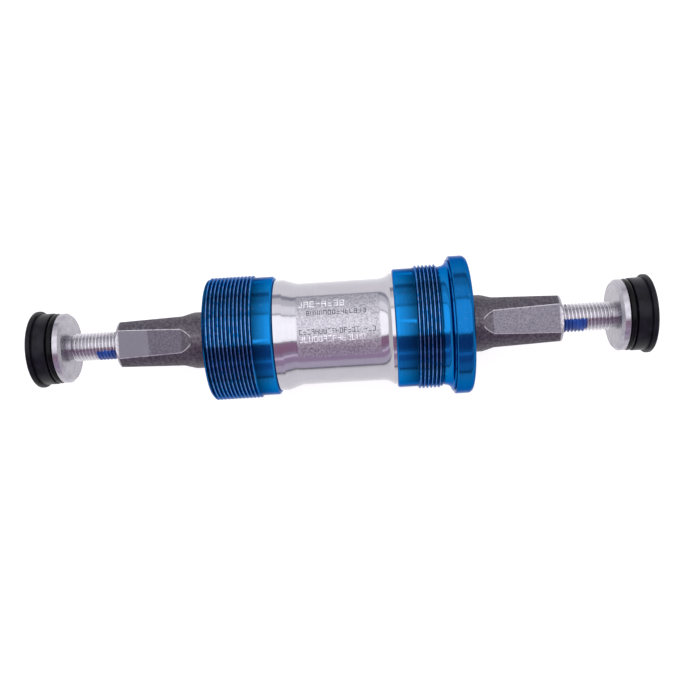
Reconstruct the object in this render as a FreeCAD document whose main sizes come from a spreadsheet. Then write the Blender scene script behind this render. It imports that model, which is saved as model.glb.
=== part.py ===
import FreeCAD, Part
import math
import os
import re
from typing import NamedTuple

import Sketcher

# Cartridge bottom bracket for a bicycle: a square-taper spindle on two sealed bearings in an
# aluminium sleeve, a flanged drive-side cup, a loose non-drive cup and two flanged crank bolts.
# Millimetres, +Z up. The spindle axis is X with the drive side at +X. The origin is the middle of
# the frame shell on the spindle axis. "Right" means the drive side, "left" the other side.

# Sizes that can be changed one by one.
SIZES = {
    # frame shell thread and the cups that screw into it
    "shell_width": 68.0,
    "thread_diameter": 34.8,
    "thread_pitch": 1.058,
    "thread_depth": 0.56,
    "thread_chamfer": 0.6,
    "groove_mouth_share": 0.40,
    "groove_floor_share": 0.08,
    "cutter_lift": 0.1,
    "cup_wall": 1.14,
    "cup_running_gap": 0.05,
    "web_thickness": 2.0,
    "recess_depth": 6.2,
    "mouth_chamfer": 0.5,
    # tool splines in both cups
    "spline_count": 20,
    "spline_room": 4.6,
    "spline_height": 0.8,
    "spline_mouth_width": 2.5,
    "spline_floor_width": 1.8,
    "spline_overcut": 0.5,
    # right cup
    "right_cup_reach": 15.8,
    "right_band_length": 5.55,
    "right_band_step": 0.675,
    "right_thread_length": 7.1,
    "relief_length": 0.9,
    "relief_step": 0.75,
    "cone_base_step": 0.2,
    "flange_height": 2.0,
    "flange_thickness": 5.0,
    "flange_round": 1.5,
    "flange_seat_width": 0.6,
    "flange_edge": 0.2,
    # left cup
    "left_cup_inset": 0.5,
    "left_cup_length": 18.6,
    "left_collar_length": 5.0,
    "left_collar_step": 0.6,
    "left_cup_end_gap": 0.6,
    "edge_chamfer": 0.4,
    # sleeve
    "sleeve_wall": 1.7,
    "sleeve_waist_step": 1.3,
    "sleeve_shoulder": 1.2,
    "left_spigot_length": 10.1,
    "left_band_length": 3.1,
    "left_fillet_length": 3.5,
    "right_fillet_length": 3.3,
    "right_lip_length": 0.9,
    "right_spigot_setback": 3.3,
    # bearings
    "bearing_width": 7.0,
    "bearing_setback": 1.3,
    "left_bearing_setback": 1.0,
    "ball_share": 0.28864,
    "ball_width_share": 0.2268,
    "ball_count": 14,
    "ball_gap": 0.1,
    "race_shoulder_share": 0.63,
    "seal_step": 0.65,
    "seal_thickness": 0.5,
    "seal_inset": 0.25,
    "seal_running_gap": 0.1,
    "cage_side_wall": 0.7125,
    "cage_half_thickness": 0.45,
    "cage_pocket_gap": 0.05,
    # spindle
    "right_overhang": 30.45,
    "left_overhang": 26.05,
    "spindle_diameter": 16.0,
    "seat_step": 0.5,
    "barrel_step": 1.25,
    "shoulder_width": 0.8,
    "clip_groove_width": 1.1,
    "clip_groove_depth": 0.4,
    "taper_across_flats": 12.65,
    "taper_angle": 2.0,
    "flat_count": 4,
    "right_flat_length": 19.1,
    "left_flat_length": 18.65,
    "runout_length": 3.2,
    "flare_length": 2.8,
    "corner_step": 0.3,
    "corner_end_step": 0.54,
    "end_chamfer": 1.0,
    "bore_depth": 25.0,
    "drill_cone": 2.4,
    "bore_mouth": 0.5,
    "bore_running_gap": 0.05,
    # retaining clips on the spindle
    "clip_thickness": 1.0,
    "clip_band": 1.5,
    "clip_open_angle": 32.0,
    "clip_ear_radius": 1.5,
    "clip_ear_hole": 0.75,
    "clip_ear_lean": 9.0,
    # rubber lip seals in the cups
    "lip_seal_offset": 0.3,
    "lip_seal_case": 1.7,
    "lip_seal_wall": 1.3,
    "lip_seal_gap": 0.06,
    "lip_seal_tip": 0.6,
    "lip_seal_reach": 2.2,
    # crank bolts
    "bolt_diameter": 8.0,
    "bolt_pitch": 1.0,
    "bolt_thread_depth": 0.6,
    "bolt_length": 24.0,
    "bolt_tip_chamfer": 0.8,
    "bolt_neck_length": 0.8,
    "bolt_flange_diameter": 20.0,
    "bolt_flange_thickness": 2.4,
    "bolt_flange_chamfer": 0.9,
    "bolt_head_diameter": 14.8,
    "bolt_head_height": 6.1,
    "bolt_head_chamfer": 0.5,
    "hex_across_flats": 8.0,
    "hex_depth": 5.0,
    "right_bolt_standoff": 14.8,
    "left_bolt_standoff": 14.45,
    "right_bolt_clock": 150.0,
    "left_bolt_clock": -15.0,
    # blue locking strip in the bolt thread
    "strip_start": 7.9,
    "strip_end": 22.8,
    "strip_depth": 0.8,
    "strip_angle": 110.0,
    # dust ring and O-ring around each bolt head
    "ring_running_gap": 0.08,
    "ring_end_gap": 0.05,
    "o_ring_section": 1.95,
    "o_ring_diameter": 20.1,
    "ring_neck_gap": 0.05,
    "ring_diameter": 20.4,
    "ring_body_length": 3.75,
    "ring_groove": 0.2,
    "ring_lip_diameter": 22.0,
    "ring_lip_length": 1.5,
    "ring_edge": 0.4,
    "notch_count": 12,
    "notch_width": 2.2,
    "notch_depth": 1.1,
    "notch_rim": 1.3,
}

# Sizes worked out from the ones above, in the order they are needed.
WORKED_OUT = {
    "thread_radius": "thread_diameter / 2",
    "flange_face": "shell_width / 2",
    "flange_radius": "thread_radius + flange_height",
    "spigot_radius": "thread_radius - thread_depth - cup_wall",
    "seat_radius": "spigot_radius - sleeve_wall",
    "waist_radius": "spigot_radius - sleeve_waist_step",
    "spindle_radius": "spindle_diameter / 2",
    "shaft_seat_radius": "spindle_radius + seat_step",
    "barrel_radius": "shaft_seat_radius + barrel_step",
    "clip_groove_radius": "shaft_seat_radius - clip_groove_depth",
    # axial places on the right
    "right_cup_start": "flange_face - right_cup_reach",
    "right_thread_start": "right_cup_start + right_band_length",
    "right_thread_end": "right_thread_start + right_thread_length",
    "right_cup_end": "flange_face + flange_thickness",
    "right_spigot_end": "flange_face - right_spigot_setback",
    "right_bearing_outer": "right_spigot_end - bearing_setback",
    "right_bearing_inner": "right_bearing_outer - bearing_width",
    "right_recess_floor": "right_cup_end - recess_depth",
    "spindle_right": "flange_face + right_overhang",
    # axial places on the left, as distances from the origin
    "left_cup_end": "flange_face - left_cup_inset",
    "left_cup_start": "left_cup_end - left_cup_length",
    "left_thread_start": "left_cup_start + left_collar_length",
    "left_spigot_end": "left_cup_start + left_spigot_length",
    "left_shoulder": "left_spigot_end + left_cup_end_gap",
    "left_bearing_outer": "left_spigot_end - left_bearing_setback",
    "left_bearing_inner": "left_bearing_outer - bearing_width",
    "left_recess_floor": "left_cup_end - recess_depth",
    "left_lip_seal_place": "left_shoulder + lip_seal_offset",
    "spindle_left": "flange_face + left_overhang",
    # tool splines and lip seals
    "spline_tip_radius": "spindle_radius + spline_room",
    "spline_root_radius": "spline_tip_radius + spline_height",
    "web_radius": "spline_tip_radius - spline_height + seal_running_gap",
    # bearings
    "ball_radius": "min((seat_radius - shaft_seat_radius) * ball_share; bearing_width * ball_width_share)",
    "cage_half_width": "ball_radius + cage_side_wall",
    "ball_track_radius": "(seat_radius + shaft_seat_radius) / 2",
    "race_groove_radius": "ball_radius + ball_gap",
    "race_shoulder": "ball_radius * race_shoulder_share",
    "race_groove_half": "sqrt(race_groove_radius ^ 2 - race_shoulder ^ 2)",
    "inner_race_radius": "ball_track_radius - race_shoulder",
    "outer_race_radius": "ball_track_radius + race_shoulder",
    "seal_seat_radius": "outer_race_radius + seal_step",
    "bearing_half": "bearing_width / 2",
    "seal_inner_face": "bearing_half - seal_inset - seal_thickness",
    # spindle tapers
    "taper_half": "taper_across_flats / 2",
    "taper_slope": "tan(taper_angle)",
    "corner_root_radius": "spindle_radius - corner_step",
    "corner_end_radius": "spindle_radius - corner_end_step",
    "bolt_radius": "bolt_diameter / 2",
    "bore_radius": "bolt_radius + bore_running_gap",
    # bolts, dust rings and O-rings, measured from the inner face of the bolt flange
    "bolt_flange_radius": "bolt_flange_diameter / 2",
    "bolt_head_radius": "bolt_head_diameter / 2",
    "bolt_root_radius": "bolt_radius - bolt_thread_depth",
    "strip_core_radius": "bolt_radius - strip_depth",
    "bolt_head_end": "bolt_flange_thickness + bolt_head_height",
    "ring_start": "bolt_flange_thickness + ring_end_gap",
    "ring_body_start": "ring_start + o_ring_section",
    "ring_body_end": "ring_body_start + ring_body_length",
    "ring_end": "ring_body_end + ring_lip_length",
    "ring_radius": "ring_diameter / 2",
    "ring_lip_radius": "ring_lip_diameter / 2",
    "ring_bore_radius": "bolt_head_radius + ring_running_gap",
    "o_ring_radius": "(o_ring_diameter - o_ring_section) / 2",
    "ring_neck_radius": "o_ring_radius - o_ring_section / 2 - ring_neck_gap",
}


class Corner(NamedTuple):
    """One corner of a closed outline, with the side that leads to the next corner.

    Args:
        along: formula for the first sketch coordinate.
        out: formula for the second sketch coordinate.
        arc: formula for the radius of the side to the next corner, empty for a straight side.
        turn: 1 when that arc runs anticlockwise about its centre, -1 when clockwise.
    """

    along: str
    out: str
    arc: str = ""
    turn: int = 1


class Bench:
    """One document with its size sheet, and the few features every body is made with."""

    def __init__(self, name: str) -> None:
        """Open the document and fill the size sheet.

        Args:
            name: name of the new document.
        """
        self.doc = FreeCAD.newDocument(name)
        self.sheet = self.doc.addObject("Spreadsheet::Sheet", "dim")
        self.nodes = []
        rows = list(SIZES.items())
        rows += [(alias, f"={formula}") for alias, formula in WORKED_OUT.items()]
        for row, (alias, content) in enumerate(rows, start=1):
            self.sheet.set(f"A{row}", alias)
            self.sheet.set(f"B{row}", str(content))
            self.sheet.setAlias(f"B{row}", alias)
        self.doc.recompute()

    def value(self, formula: str) -> float:
        """Return the number a formula of sizes comes to."""
        return float(self.sheet.evalExpression(formula))

    def count(self, alias: str) -> int:
        """Return a whole-number size."""
        return int(round(self.value(alias)))

    def bind(self, thing, prop: str, formula: str) -> None:
        """Tie a property to a formula of sizes.

        Args:
            thing: the object that owns the property.
            prop: property path.
            formula: formula written with the plain names of the sizes.
        """
        linked = re.sub(
            r"[a-z_]+",
            lambda word: f"dim.{word[0]}" if word[0] in SIZES or word[0] in WORKED_OUT else word[0],
            formula,
        )
        thing.setExpression(prop, linked)

    def body(self, label: str, node: bool = True):
        """Start an empty body.

        Args:
            label: label of the body, which is also its file name.
            node: whether the body is written out on its own.
        """
        body = self.doc.addObject("PartDesign::Body", label)
        body.Label = label
        if node:
            self.nodes.append(body)
        return body

    def origin(self, body, role: str):
        """Return the origin plane or axis of a body that has the given role."""
        return next(item for item in body.Origin.OriginFeatures if item.Role == role)

    def sketch(self, body, name: str, plane: str, lift: str = ""):
        """Add an empty sketch to a body.

        Args:
            body: the body that owns it.
            name: name of the sketch.
            plane: role of the origin plane it lies on.
            lift: formula for its distance from that plane, empty to lie in it.
        """
        sketch = body.newObject("Sketcher::SketchObject", name)
        sketch.AttachmentSupport = [(self.origin(body, plane), "")]
        sketch.MapMode = "FlatFace"
        if lift:
            self.bind(sketch, ".AttachmentOffset.Base.z", lift)
        self.doc.recompute()
        return sketch

    def outline(self, sketch, corners: list[Corner]) -> None:
        """Draw one closed outline whose corners are all tied to sizes.

        Args:
            sketch: the sketch to draw in.
            corners: the corners in order.
        """
        first = sketch.GeometryCount
        points = [(self.value(corner.along), self.value(corner.out)) for corner in corners]
        count = len(corners)
        for index, corner in enumerate(corners):
            start = points[index]
            end = points[(index + 1) % count]
            if corner.arc:
                sketch.addGeometry(arc_between(start, end, self.value(corner.arc), corner.turn), False)
            else:
                sketch.addGeometry(
                    Part.LineSegment(FreeCAD.Vector(*start, 0), FreeCAD.Vector(*end, 0)), False
                )
        ends = [first_end(corner) for corner in corners]
        for index in range(count):
            after = (index + 1) % count
            sketch.addConstraint(
                Sketcher.Constraint(
                    "Coincident", first + index, 3 - ends[index], first + after, ends[after]
                )
            )
        for index, corner in enumerate(corners):
            self.pin(sketch, "DistanceX", first + index, ends[index], corner.along, points[index][0])
            self.pin(sketch, "DistanceY", first + index, ends[index], corner.out, points[index][1])
            if corner.arc:
                radius = self.value(corner.arc)
                row = sketch.addConstraint(Sketcher.Constraint("Radius", first + index, radius))
                self.bind(sketch, f"Constraints[{row}]", corner.arc)
        self.doc.recompute()

    def pin(self, sketch, kind: str, line: int, end: int, formula: str, now: float) -> None:
        """Hold one coordinate of a point to a formula.

        Args:
            sketch: the sketch.
            kind: "DistanceX" or "DistanceY".
            line: index of the line or arc.
            end: which of its ends.
            formula: formula of sizes, or "0" for a point on the axis.
            now: what the formula comes to.
        """
        if formula == "0":
            axis = -1 if kind == "DistanceY" else -2
            sketch.addConstraint(Sketcher.Constraint("PointOnObject", line, end, axis))
            return
        row = sketch.addConstraint(Sketcher.Constraint(kind, -1, 1, line, end, now))
        self.bind(sketch, f"Constraints[{row}]", formula)

    def turned(self, body, name: str, corners: list[Corner], angle: str = ""):
        """Turn an outline about the X axis.

        Args:
            body: the body to add to.
            name: name of the feature.
            corners: outline, along X and out along Y.
            angle: formula for the angle turned through, half to each side, empty for a full turn.
        """
        sketch = self.sketch(body, f"{name}_outline", "XY_Plane")
        self.outline(sketch, corners)
        turned = body.newObject("PartDesign::Revolution", name)
        turned.Profile = sketch
        turned.ReferenceAxis = (sketch, ["H_Axis"])
        turned.Angle = 360
        if angle:
            turned.Midplane = True
            self.bind(turned, "Angle", angle)
        body.Tip = turned
        self.doc.recompute()
        return turned

    def turned_cut(self, body, name: str, corners: list[Corner], angle: str):
        """Cut an outline out of a body over part of a turn about the X axis, half to each side."""
        sketch = self.sketch(body, f"{name}_outline", "XY_Plane")
        self.outline(sketch, corners)
        before = body.Shape.Volume
        cut = body.newObject("PartDesign::Groove", name)
        cut.Profile = sketch
        cut.ReferenceAxis = (sketch, ["H_Axis"])
        cut.Midplane = True
        self.bind(cut, "Angle", angle)
        body.Tip = cut
        self.doc.recompute()
        check_cut(body, before)
        return cut

    def pocket(self, body, sketch, name: str, depth: str = ""):
        """Cut a sketch into a body.

        Args:
            body: the body to cut.
            sketch: closed outlines.
            name: name of the feature.
            depth: formula for the depth, empty to cut right through both ways.
        """
        before = body.Shape.Volume
        pocket = body.newObject("PartDesign::Pocket", name)
        pocket.Profile = sketch
        if depth:
            self.bind(pocket, "Length", depth)
        else:
            pocket.Type = "ThroughAll"
            pocket.Midplane = True
        body.Tip = pocket
        self.doc.recompute()
        if body.Shape.Volume >= before - CUT_FLOOR:
            pocket.Reversed = not pocket.Reversed
            self.doc.recompute()
        check_cut(body, before)
        return pocket

    def around(self, body, feature, name: str, count: str):
        """Repeat a feature evenly about the X axis.

        Args:
            body: the body that owns the feature.
            feature: the feature to repeat.
            name: name of the pattern.
            count: formula for how many there are.
        """
        pattern = body.newObject("PartDesign::PolarPattern", name)
        pattern.Originals = [feature]
        pattern.Axis = (self.origin(body, "X_Axis"), [""])
        pattern.Angle = 360
        self.bind(pattern, "Occurrences", count)
        body.Tip = pattern
        self.doc.recompute()
        return pattern

    def thread(self, body, name: str, radius: str, start: str, length: str, sizes: dict[str, str],
               left_hand: bool):
        """Cut a helical thread groove.

        Args:
            body: the body to cut.
            name: name of the feature.
            radius: formula for the outer radius of the thread.
            start: formula for where the middle of the groove starts along X.
            length: formula for how far the groove runs towards +X.
            sizes: names of the sizes that hold the "pitch" and the "depth".
            left_hand: whether the thread is left-handed.
        """
        pitch = sizes["pitch"]
        depth = sizes["depth"]
        slope = f"(groove_mouth_share - groove_floor_share) * {pitch} / {depth}"
        mouth = f"(groove_mouth_share * {pitch} + cutter_lift * {slope})"
        floor = f"(groove_floor_share * {pitch})"
        top = f"{radius} + cutter_lift"
        bottom = f"{radius} - {depth}"
        sketch = self.sketch(body, f"{name}_section", "XY_Plane")
        self.outline(sketch, [
            Corner(f"{start} - {mouth}", top),
            Corner(f"{start} - {floor}", bottom),
            Corner(f"{start} + {floor}", bottom),
            Corner(f"{start} + {mouth}", top),
        ])
        before = body.Shape.Volume
        helix = body.newObject("PartDesign::SubtractiveHelix", name)
        helix.Profile = sketch
        helix.ReferenceAxis = (self.origin(body, "X_Axis"), [""])
        helix.Mode = "pitch-height-angle"
        helix.LeftHanded = left_hand
        self.bind(helix, "Pitch", pitch)
        self.bind(helix, "Height", length)
        body.Tip = helix
        self.doc.recompute()
        check_cut(body, before)
        return helix

    def place(self, thing, along: str, flipped: bool = False, clock: str = "0") -> None:
        """Put an object built about its own origin in its place on the spindle axis.

        Args:
            thing: the object to place.
            along: formula for its place along X, empty when it is already there.
            flipped: whether it is turned end for end, for the left side.
            clock: formula for its turn about the X axis, in degrees.
        """
        turn = FreeCAD.Rotation(FreeCAD.Vector(1, 0, 0), self.value(clock))
        if flipped:
            turn = turn.multiply(FreeCAD.Rotation(FreeCAD.Vector(0, 0, 1), 180))
        thing.Placement = FreeCAD.Placement(FreeCAD.Vector(0, 0, 0), turn)
        if along:
            self.bind(thing, ".Placement.Base.x", along)
        self.doc.recompute()


CUT_FLOOR = 1e-4  # mm3; a cut that takes less than this has gone the wrong way


def check_cut(body, before: float) -> None:
    """Stop when a cut took nothing away.

    Args:
        body: the body that was cut.
        before: its volume before the cut.
    """
    if body.Shape.Volume >= before - CUT_FLOOR:
        raise RuntimeError(f"{body.Label}: the last cut removed nothing")


def first_end(corner: Corner) -> int:
    """Return which end of a side lies on its own corner: arcs are stored anticlockwise."""
    return 2 if corner.arc and corner.turn < 0 else 1


def arc_between(start: tuple, end: tuple, radius: float, turn: int):
    """Return the shorter arc between two points.

    Args:
        start: first point.
        end: second point.
        radius: arc radius.
        turn: 1 when it runs anticlockwise about its centre, -1 when clockwise.
    """
    chord_x = end[0] - start[0]
    chord_y = end[1] - start[1]
    chord = math.hypot(chord_x, chord_y)
    sagitta_arm = math.sqrt(max(radius ** 2 - (chord / 2) ** 2, 0.0))
    centre_x = (start[0] + end[0]) / 2 - turn * chord_y / chord * sagitta_arm
    centre_y = (start[1] + end[1]) / 2 + turn * chord_x / chord * sagitta_arm
    angles = [math.atan2(point[1] - centre_y, point[0] - centre_x) for point in (start, end)]
    if turn < 0:
        angles.reverse()
    circle = Part.Circle(FreeCAD.Vector(centre_x, centre_y, 0), FreeCAD.Vector(0, 0, 1), radius)
    return Part.ArcOfCircle(circle, angles[0], angles[1])


def box_of(left: str, right: str, low: str, high: str) -> list[Corner]:
    """Return a rectangle from formulas for its four sides."""
    return [Corner(left, low), Corner(right, low), Corner(right, high), Corner(left, high)]


def build_spindle(bench: Bench) -> None:
    """Build the spindle: barrel, bearing seats, clip grooves, square tapers and tapped ends."""
    body = bench.body("spindle")
    right_clip = "right_bearing_outer + clip_groove_width"
    left_clip = "-left_bearing_outer - clip_groove_width"
    bench.turned(body, "bar", [
        Corner("-spindle_left + bore_depth + drill_cone", "0"),
        Corner("-spindle_left + bore_depth", "bore_radius"),
        Corner("-spindle_left + bore_mouth", "bore_radius"),
        Corner("-spindle_left", "bore_radius + bore_mouth"),
        Corner("-spindle_left", "corner_end_radius - end_chamfer"),
        Corner("-spindle_left + end_chamfer", "corner_end_radius"),
        Corner("-spindle_left + left_flat_length + edge_chamfer", "corner_root_radius"),
        Corner("-spindle_left + left_flat_length + edge_chamfer + flare_length", "spindle_radius"),
        Corner(f"{left_clip} - shoulder_width", "spindle_radius"),
        Corner(f"{left_clip} - shoulder_width", "shaft_seat_radius - bore_mouth / 2"),
        Corner(f"{left_clip} - shoulder_width + bore_mouth / 2", "shaft_seat_radius"),
        Corner(left_clip, "shaft_seat_radius"),
        Corner(left_clip, "clip_groove_radius"),
        Corner("-left_bearing_outer", "clip_groove_radius"),
        Corner("-left_bearing_outer", "shaft_seat_radius"),
        Corner("-left_bearing_inner", "shaft_seat_radius"),
        Corner("-left_bearing_inner", "barrel_radius"),
        Corner("right_bearing_inner", "barrel_radius"),
        Corner("right_bearing_inner", "shaft_seat_radius"),
        Corner("right_bearing_outer", "shaft_seat_radius"),
        Corner("right_bearing_outer", "clip_groove_radius"),
        Corner(right_clip, "clip_groove_radius"),
        Corner(right_clip, "shaft_seat_radius"),
        Corner(f"{right_clip} + shoulder_width - bore_mouth / 2", "shaft_seat_radius"),
        Corner(f"{right_clip} + shoulder_width", "shaft_seat_radius - bore_mouth / 2"),
        Corner(f"{right_clip} + shoulder_width", "spindle_radius"),
        Corner("spindle_right - right_flat_length - edge_chamfer - flare_length", "spindle_radius"),
        Corner("spindle_right - right_flat_length - edge_chamfer", "corner_root_radius"),
        Corner("spindle_right - end_chamfer", "corner_end_radius"),
        Corner("spindle_right", "corner_end_radius - end_chamfer"),
        Corner("spindle_right", "bore_radius + bore_mouth"),
        Corner("spindle_right - bore_mouth", "bore_radius"),
        Corner("spindle_right - bore_depth", "bore_radius"),
        Corner("spindle_right - bore_depth - drill_cone", "0"),
    ])
    flats = bench.sketch(body, "flats", "XZ_Plane")
    for sign, end, length in (("", "spindle_right", "right_flat_length"),
                              ("-", "spindle_left", "left_flat_length")):
        root = f"{end} - {length}"
        tip = f"{end} + end_chamfer"
        bench.outline(flats, [
            Corner(f"{sign}({tip})", "taper_half - end_chamfer * taper_slope"),
            Corner(f"{sign}({root})", f"taper_half + {length} * taper_slope"),
            Corner(f"{sign}({root} - runout_length)", "spindle_radius + bore_running_gap"),
            Corner(f"{sign}({root} - runout_length)", "spindle_diameter"),
            Corner(f"{sign}({tip})", "spindle_diameter"),
        ])
    flat_cut = bench.pocket(body, flats, "flat_cut")
    bench.around(body, flat_cut, "four_flats", "flat_count")


def cut_splines(bench: Bench, body, end: str) -> None:
    """Cut the tool splines into the outer end of a cup that is built with its end towards +X.

    Args:
        bench: the document.
        body: the cup.
        end: formula for the outer end of the cup.
    """
    sketch = bench.sketch(body, "spline_section", "YZ_Plane", end)
    inner = "spline_tip_radius - spline_overcut"
    bench.outline(sketch, [
        Corner("-spline_mouth_width / 2", inner),
        Corner("spline_mouth_width / 2", inner),
        Corner("spline_floor_width / 2", "spline_root_radius"),
        Corner("-spline_floor_width / 2", "spline_root_radius"),
    ])
    groove = bench.pocket(body, sketch, "spline_groove", "recess_depth")
    bench.around(body, groove, "splines", "spline_count")


def build_right_cup(bench: Bench) -> None:
    """Build the drive-side cup: band, left-hand thread, relief, cone, flange and tool splines."""
    body = bench.body("right_cup")
    band = "thread_radius - right_band_step"
    relief = "thread_radius - relief_step"
    cone = "thread_radius - cone_base_step"
    relief_end = "right_thread_end + relief_length"
    bench.turned(body, "ring", [
        Corner("right_cup_start", "spigot_radius"),
        Corner("right_cup_start", f"{band} - edge_chamfer"),
        Corner("right_cup_start + edge_chamfer", band),
        Corner("right_thread_start", band),
        Corner("right_thread_start + thread_chamfer", "thread_radius"),
        Corner("right_thread_end", "thread_radius"),
        Corner("right_thread_end", relief),
        Corner(relief_end, relief),
        Corner(relief_end, cone),
        Corner("flange_face", "flange_radius - flange_edge - flange_seat_width"),
        Corner("flange_face", "flange_radius - flange_edge"),
        Corner("flange_face + flange_edge", "flange_radius"),
        Corner("right_cup_end - flange_round", "flange_radius", "flange_round", -1),
        Corner("right_cup_end", "flange_radius - flange_round"),
        Corner("right_cup_end", "spline_tip_radius + mouth_chamfer"),
        Corner("right_cup_end - mouth_chamfer", "spline_tip_radius"),
        Corner("right_recess_floor", "spline_tip_radius"),
        Corner("right_recess_floor", "web_radius"),
        Corner("right_spigot_end", "web_radius"),
        Corner("right_spigot_end", "spigot_radius"),
    ])
    bench.thread(
        body, "shell_thread", "thread_radius", "(right_thread_start - thread_pitch / 2)",
        "right_thread_length + thread_pitch / 2 + relief_length / 2",
        {"pitch": "thread_pitch", "depth": "thread_depth"}, left_hand=True,
    )
    cut_splines(bench, body, "right_cup_end")


def build_left_cup(bench: Bench) -> None:
    """Build the non-drive cup: collar, right-hand thread, sliding bore and tool splines.

    It is built with its outer end towards +X and then turned end for end.
    """
    body = bench.body("left_cup")
    collar = "thread_radius - left_collar_step"
    bore = "spigot_radius + cup_running_gap"
    bench.turned(body, "ring", [
        Corner("left_cup_start + edge_chamfer", bore),
        Corner("left_cup_start", f"{bore} + edge_chamfer"),
        Corner("left_cup_start", f"{collar} - edge_chamfer"),
        Corner("left_cup_start + edge_chamfer", collar),
        Corner("left_thread_start", collar),
        Corner("left_thread_start + thread_chamfer", "thread_radius"),
        Corner("left_cup_end - thread_chamfer", "thread_radius"),
        Corner("left_cup_end", "thread_radius - thread_chamfer"),
        Corner("left_cup_end", "spline_tip_radius + mouth_chamfer"),
        Corner("left_cup_end - mouth_chamfer", "spline_tip_radius"),
        Corner("left_recess_floor", "spline_tip_radius"),
        Corner("left_recess_floor", "web_radius"),
        Corner("left_shoulder", "web_radius"),
        Corner("left_shoulder", bore),
    ])
    bench.thread(
        body, "shell_thread", "thread_radius", "(left_thread_start - thread_pitch / 2)",
        "left_cup_length - left_collar_length + thread_pitch * 2",
        {"pitch": "thread_pitch", "depth": "thread_depth"}, left_hand=False,
    )
    cut_splines(bench, body, "left_cup_end")
    bench.place(body, "", flipped=True)


def build_sleeve(bench: Bench) -> None:
    """Build the aluminium sleeve that holds both bearings, waisted between the cups."""
    body = bench.body("sleeve")
    left_fillet = "-left_cup_start + left_band_length"
    right_fillet = "right_cup_start - right_lip_length"
    left_arc = "(left_fillet_length ^ 2 + sleeve_waist_step ^ 2) / (2 * sleeve_waist_step)"
    right_arc = "(right_fillet_length ^ 2 + sleeve_waist_step ^ 2) / (2 * sleeve_waist_step)"
    bore = "seat_radius - sleeve_shoulder"
    bench.turned(body, "tube", [
        Corner("-left_spigot_end", "seat_radius"),
        Corner("-left_spigot_end", "spigot_radius - edge_chamfer"),
        Corner("-left_spigot_end + edge_chamfer", "spigot_radius"),
        Corner(left_fillet, "spigot_radius", left_arc, 1),
        Corner(f"{left_fillet} + left_fillet_length", "waist_radius"),
        Corner(f"{right_fillet} - right_fillet_length", "waist_radius", right_arc, 1),
        Corner(right_fillet, "spigot_radius"),
        Corner("right_spigot_end - edge_chamfer", "spigot_radius"),
        Corner("right_spigot_end", "spigot_radius - edge_chamfer"),
        Corner("right_spigot_end", "seat_radius"),
        Corner("right_bearing_inner", "seat_radius"),
        Corner("right_bearing_inner", bore),
        Corner("-left_bearing_inner", bore),
        Corner("-left_bearing_inner", "seat_radius"),
    ])


def build_bearing(bench: Bench, side: str, middle: str) -> None:
    """Build one sealed ball bearing: two races, balls, cage and two seals.

    Args:
        bench: the document.
        side: "right" or "left", used in the names.
        middle: formula for the middle of the bearing along X.
    """
    inner = bench.body(f"{side}_inner_race")
    bench.turned(inner, "ring", [
        Corner("-bearing_half", "shaft_seat_radius"),
        Corner("-bearing_half", "inner_race_radius"),
        Corner("-race_groove_half", "inner_race_radius", "race_groove_radius", 1),
        Corner("race_groove_half", "inner_race_radius"),
        Corner("bearing_half", "inner_race_radius"),
        Corner("bearing_half", "shaft_seat_radius"),
    ])
    outer = bench.body(f"{side}_outer_race")
    bench.turned(outer, "ring", [
        Corner("-bearing_half", "seat_radius"),
        Corner("bearing_half", "seat_radius"),
        Corner("bearing_half", "seal_seat_radius"),
        Corner("seal_inner_face", "seal_seat_radius"),
        Corner("seal_inner_face", "outer_race_radius"),
        Corner("race_groove_half", "outer_race_radius", "race_groove_radius", 1),
        Corner("-race_groove_half", "outer_race_radius"),
        Corner("-seal_inner_face", "outer_race_radius"),
        Corner("-seal_inner_face", "seal_seat_radius"),
        Corner("-bearing_half", "seal_seat_radius"),
    ])
    cage = bench.body(f"{side}_cage")
    bench.turned(cage, "ring", box_of(
        "-cage_half_width", "cage_half_width",
        "ball_track_radius - cage_half_thickness", "ball_track_radius + cage_half_thickness",
    ))
    hole = bench.sketch(cage, "pocket_section", "XY_Plane")
    hole.addGeometry(Part.Circle(FreeCAD.Vector(0, 0, 0), FreeCAD.Vector(0, 0, 1), 1), False)
    hole.addConstraint(Sketcher.Constraint("Coincident", 0, 3, -1, 1))
    row = hole.addConstraint(Sketcher.Constraint("Radius", 0, bench.value("ball_radius")))
    bench.bind(hole, f"Constraints[{row}]", "ball_radius + cage_pocket_gap")
    bench.doc.recompute()
    ball_pocket = bench.pocket(cage, hole, "ball_pocket", "seat_radius")
    ball_pocket.Reversed = True
    bench.around(cage, ball_pocket, "ball_pockets", "ball_count")
    seals = []
    for place, sign in (("inboard", "-"), ("outboard", "")):
        seal = bench.body(f"{side}_{place}_seal")
        start = f"{sign}seal_inner_face"
        end = f"{sign}(seal_inner_face + seal_thickness)"
        bench.turned(seal, "disc", box_of(
            start, end, "inner_race_radius + seal_running_gap", "seal_seat_radius",
        ))
        seals.append(seal)
    flipped = side == "left"
    for body in (inner, outer, *seals):
        bench.place(body, middle, flipped)
    bench.place(cage, middle)
    build_balls(bench, side, middle)


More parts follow.
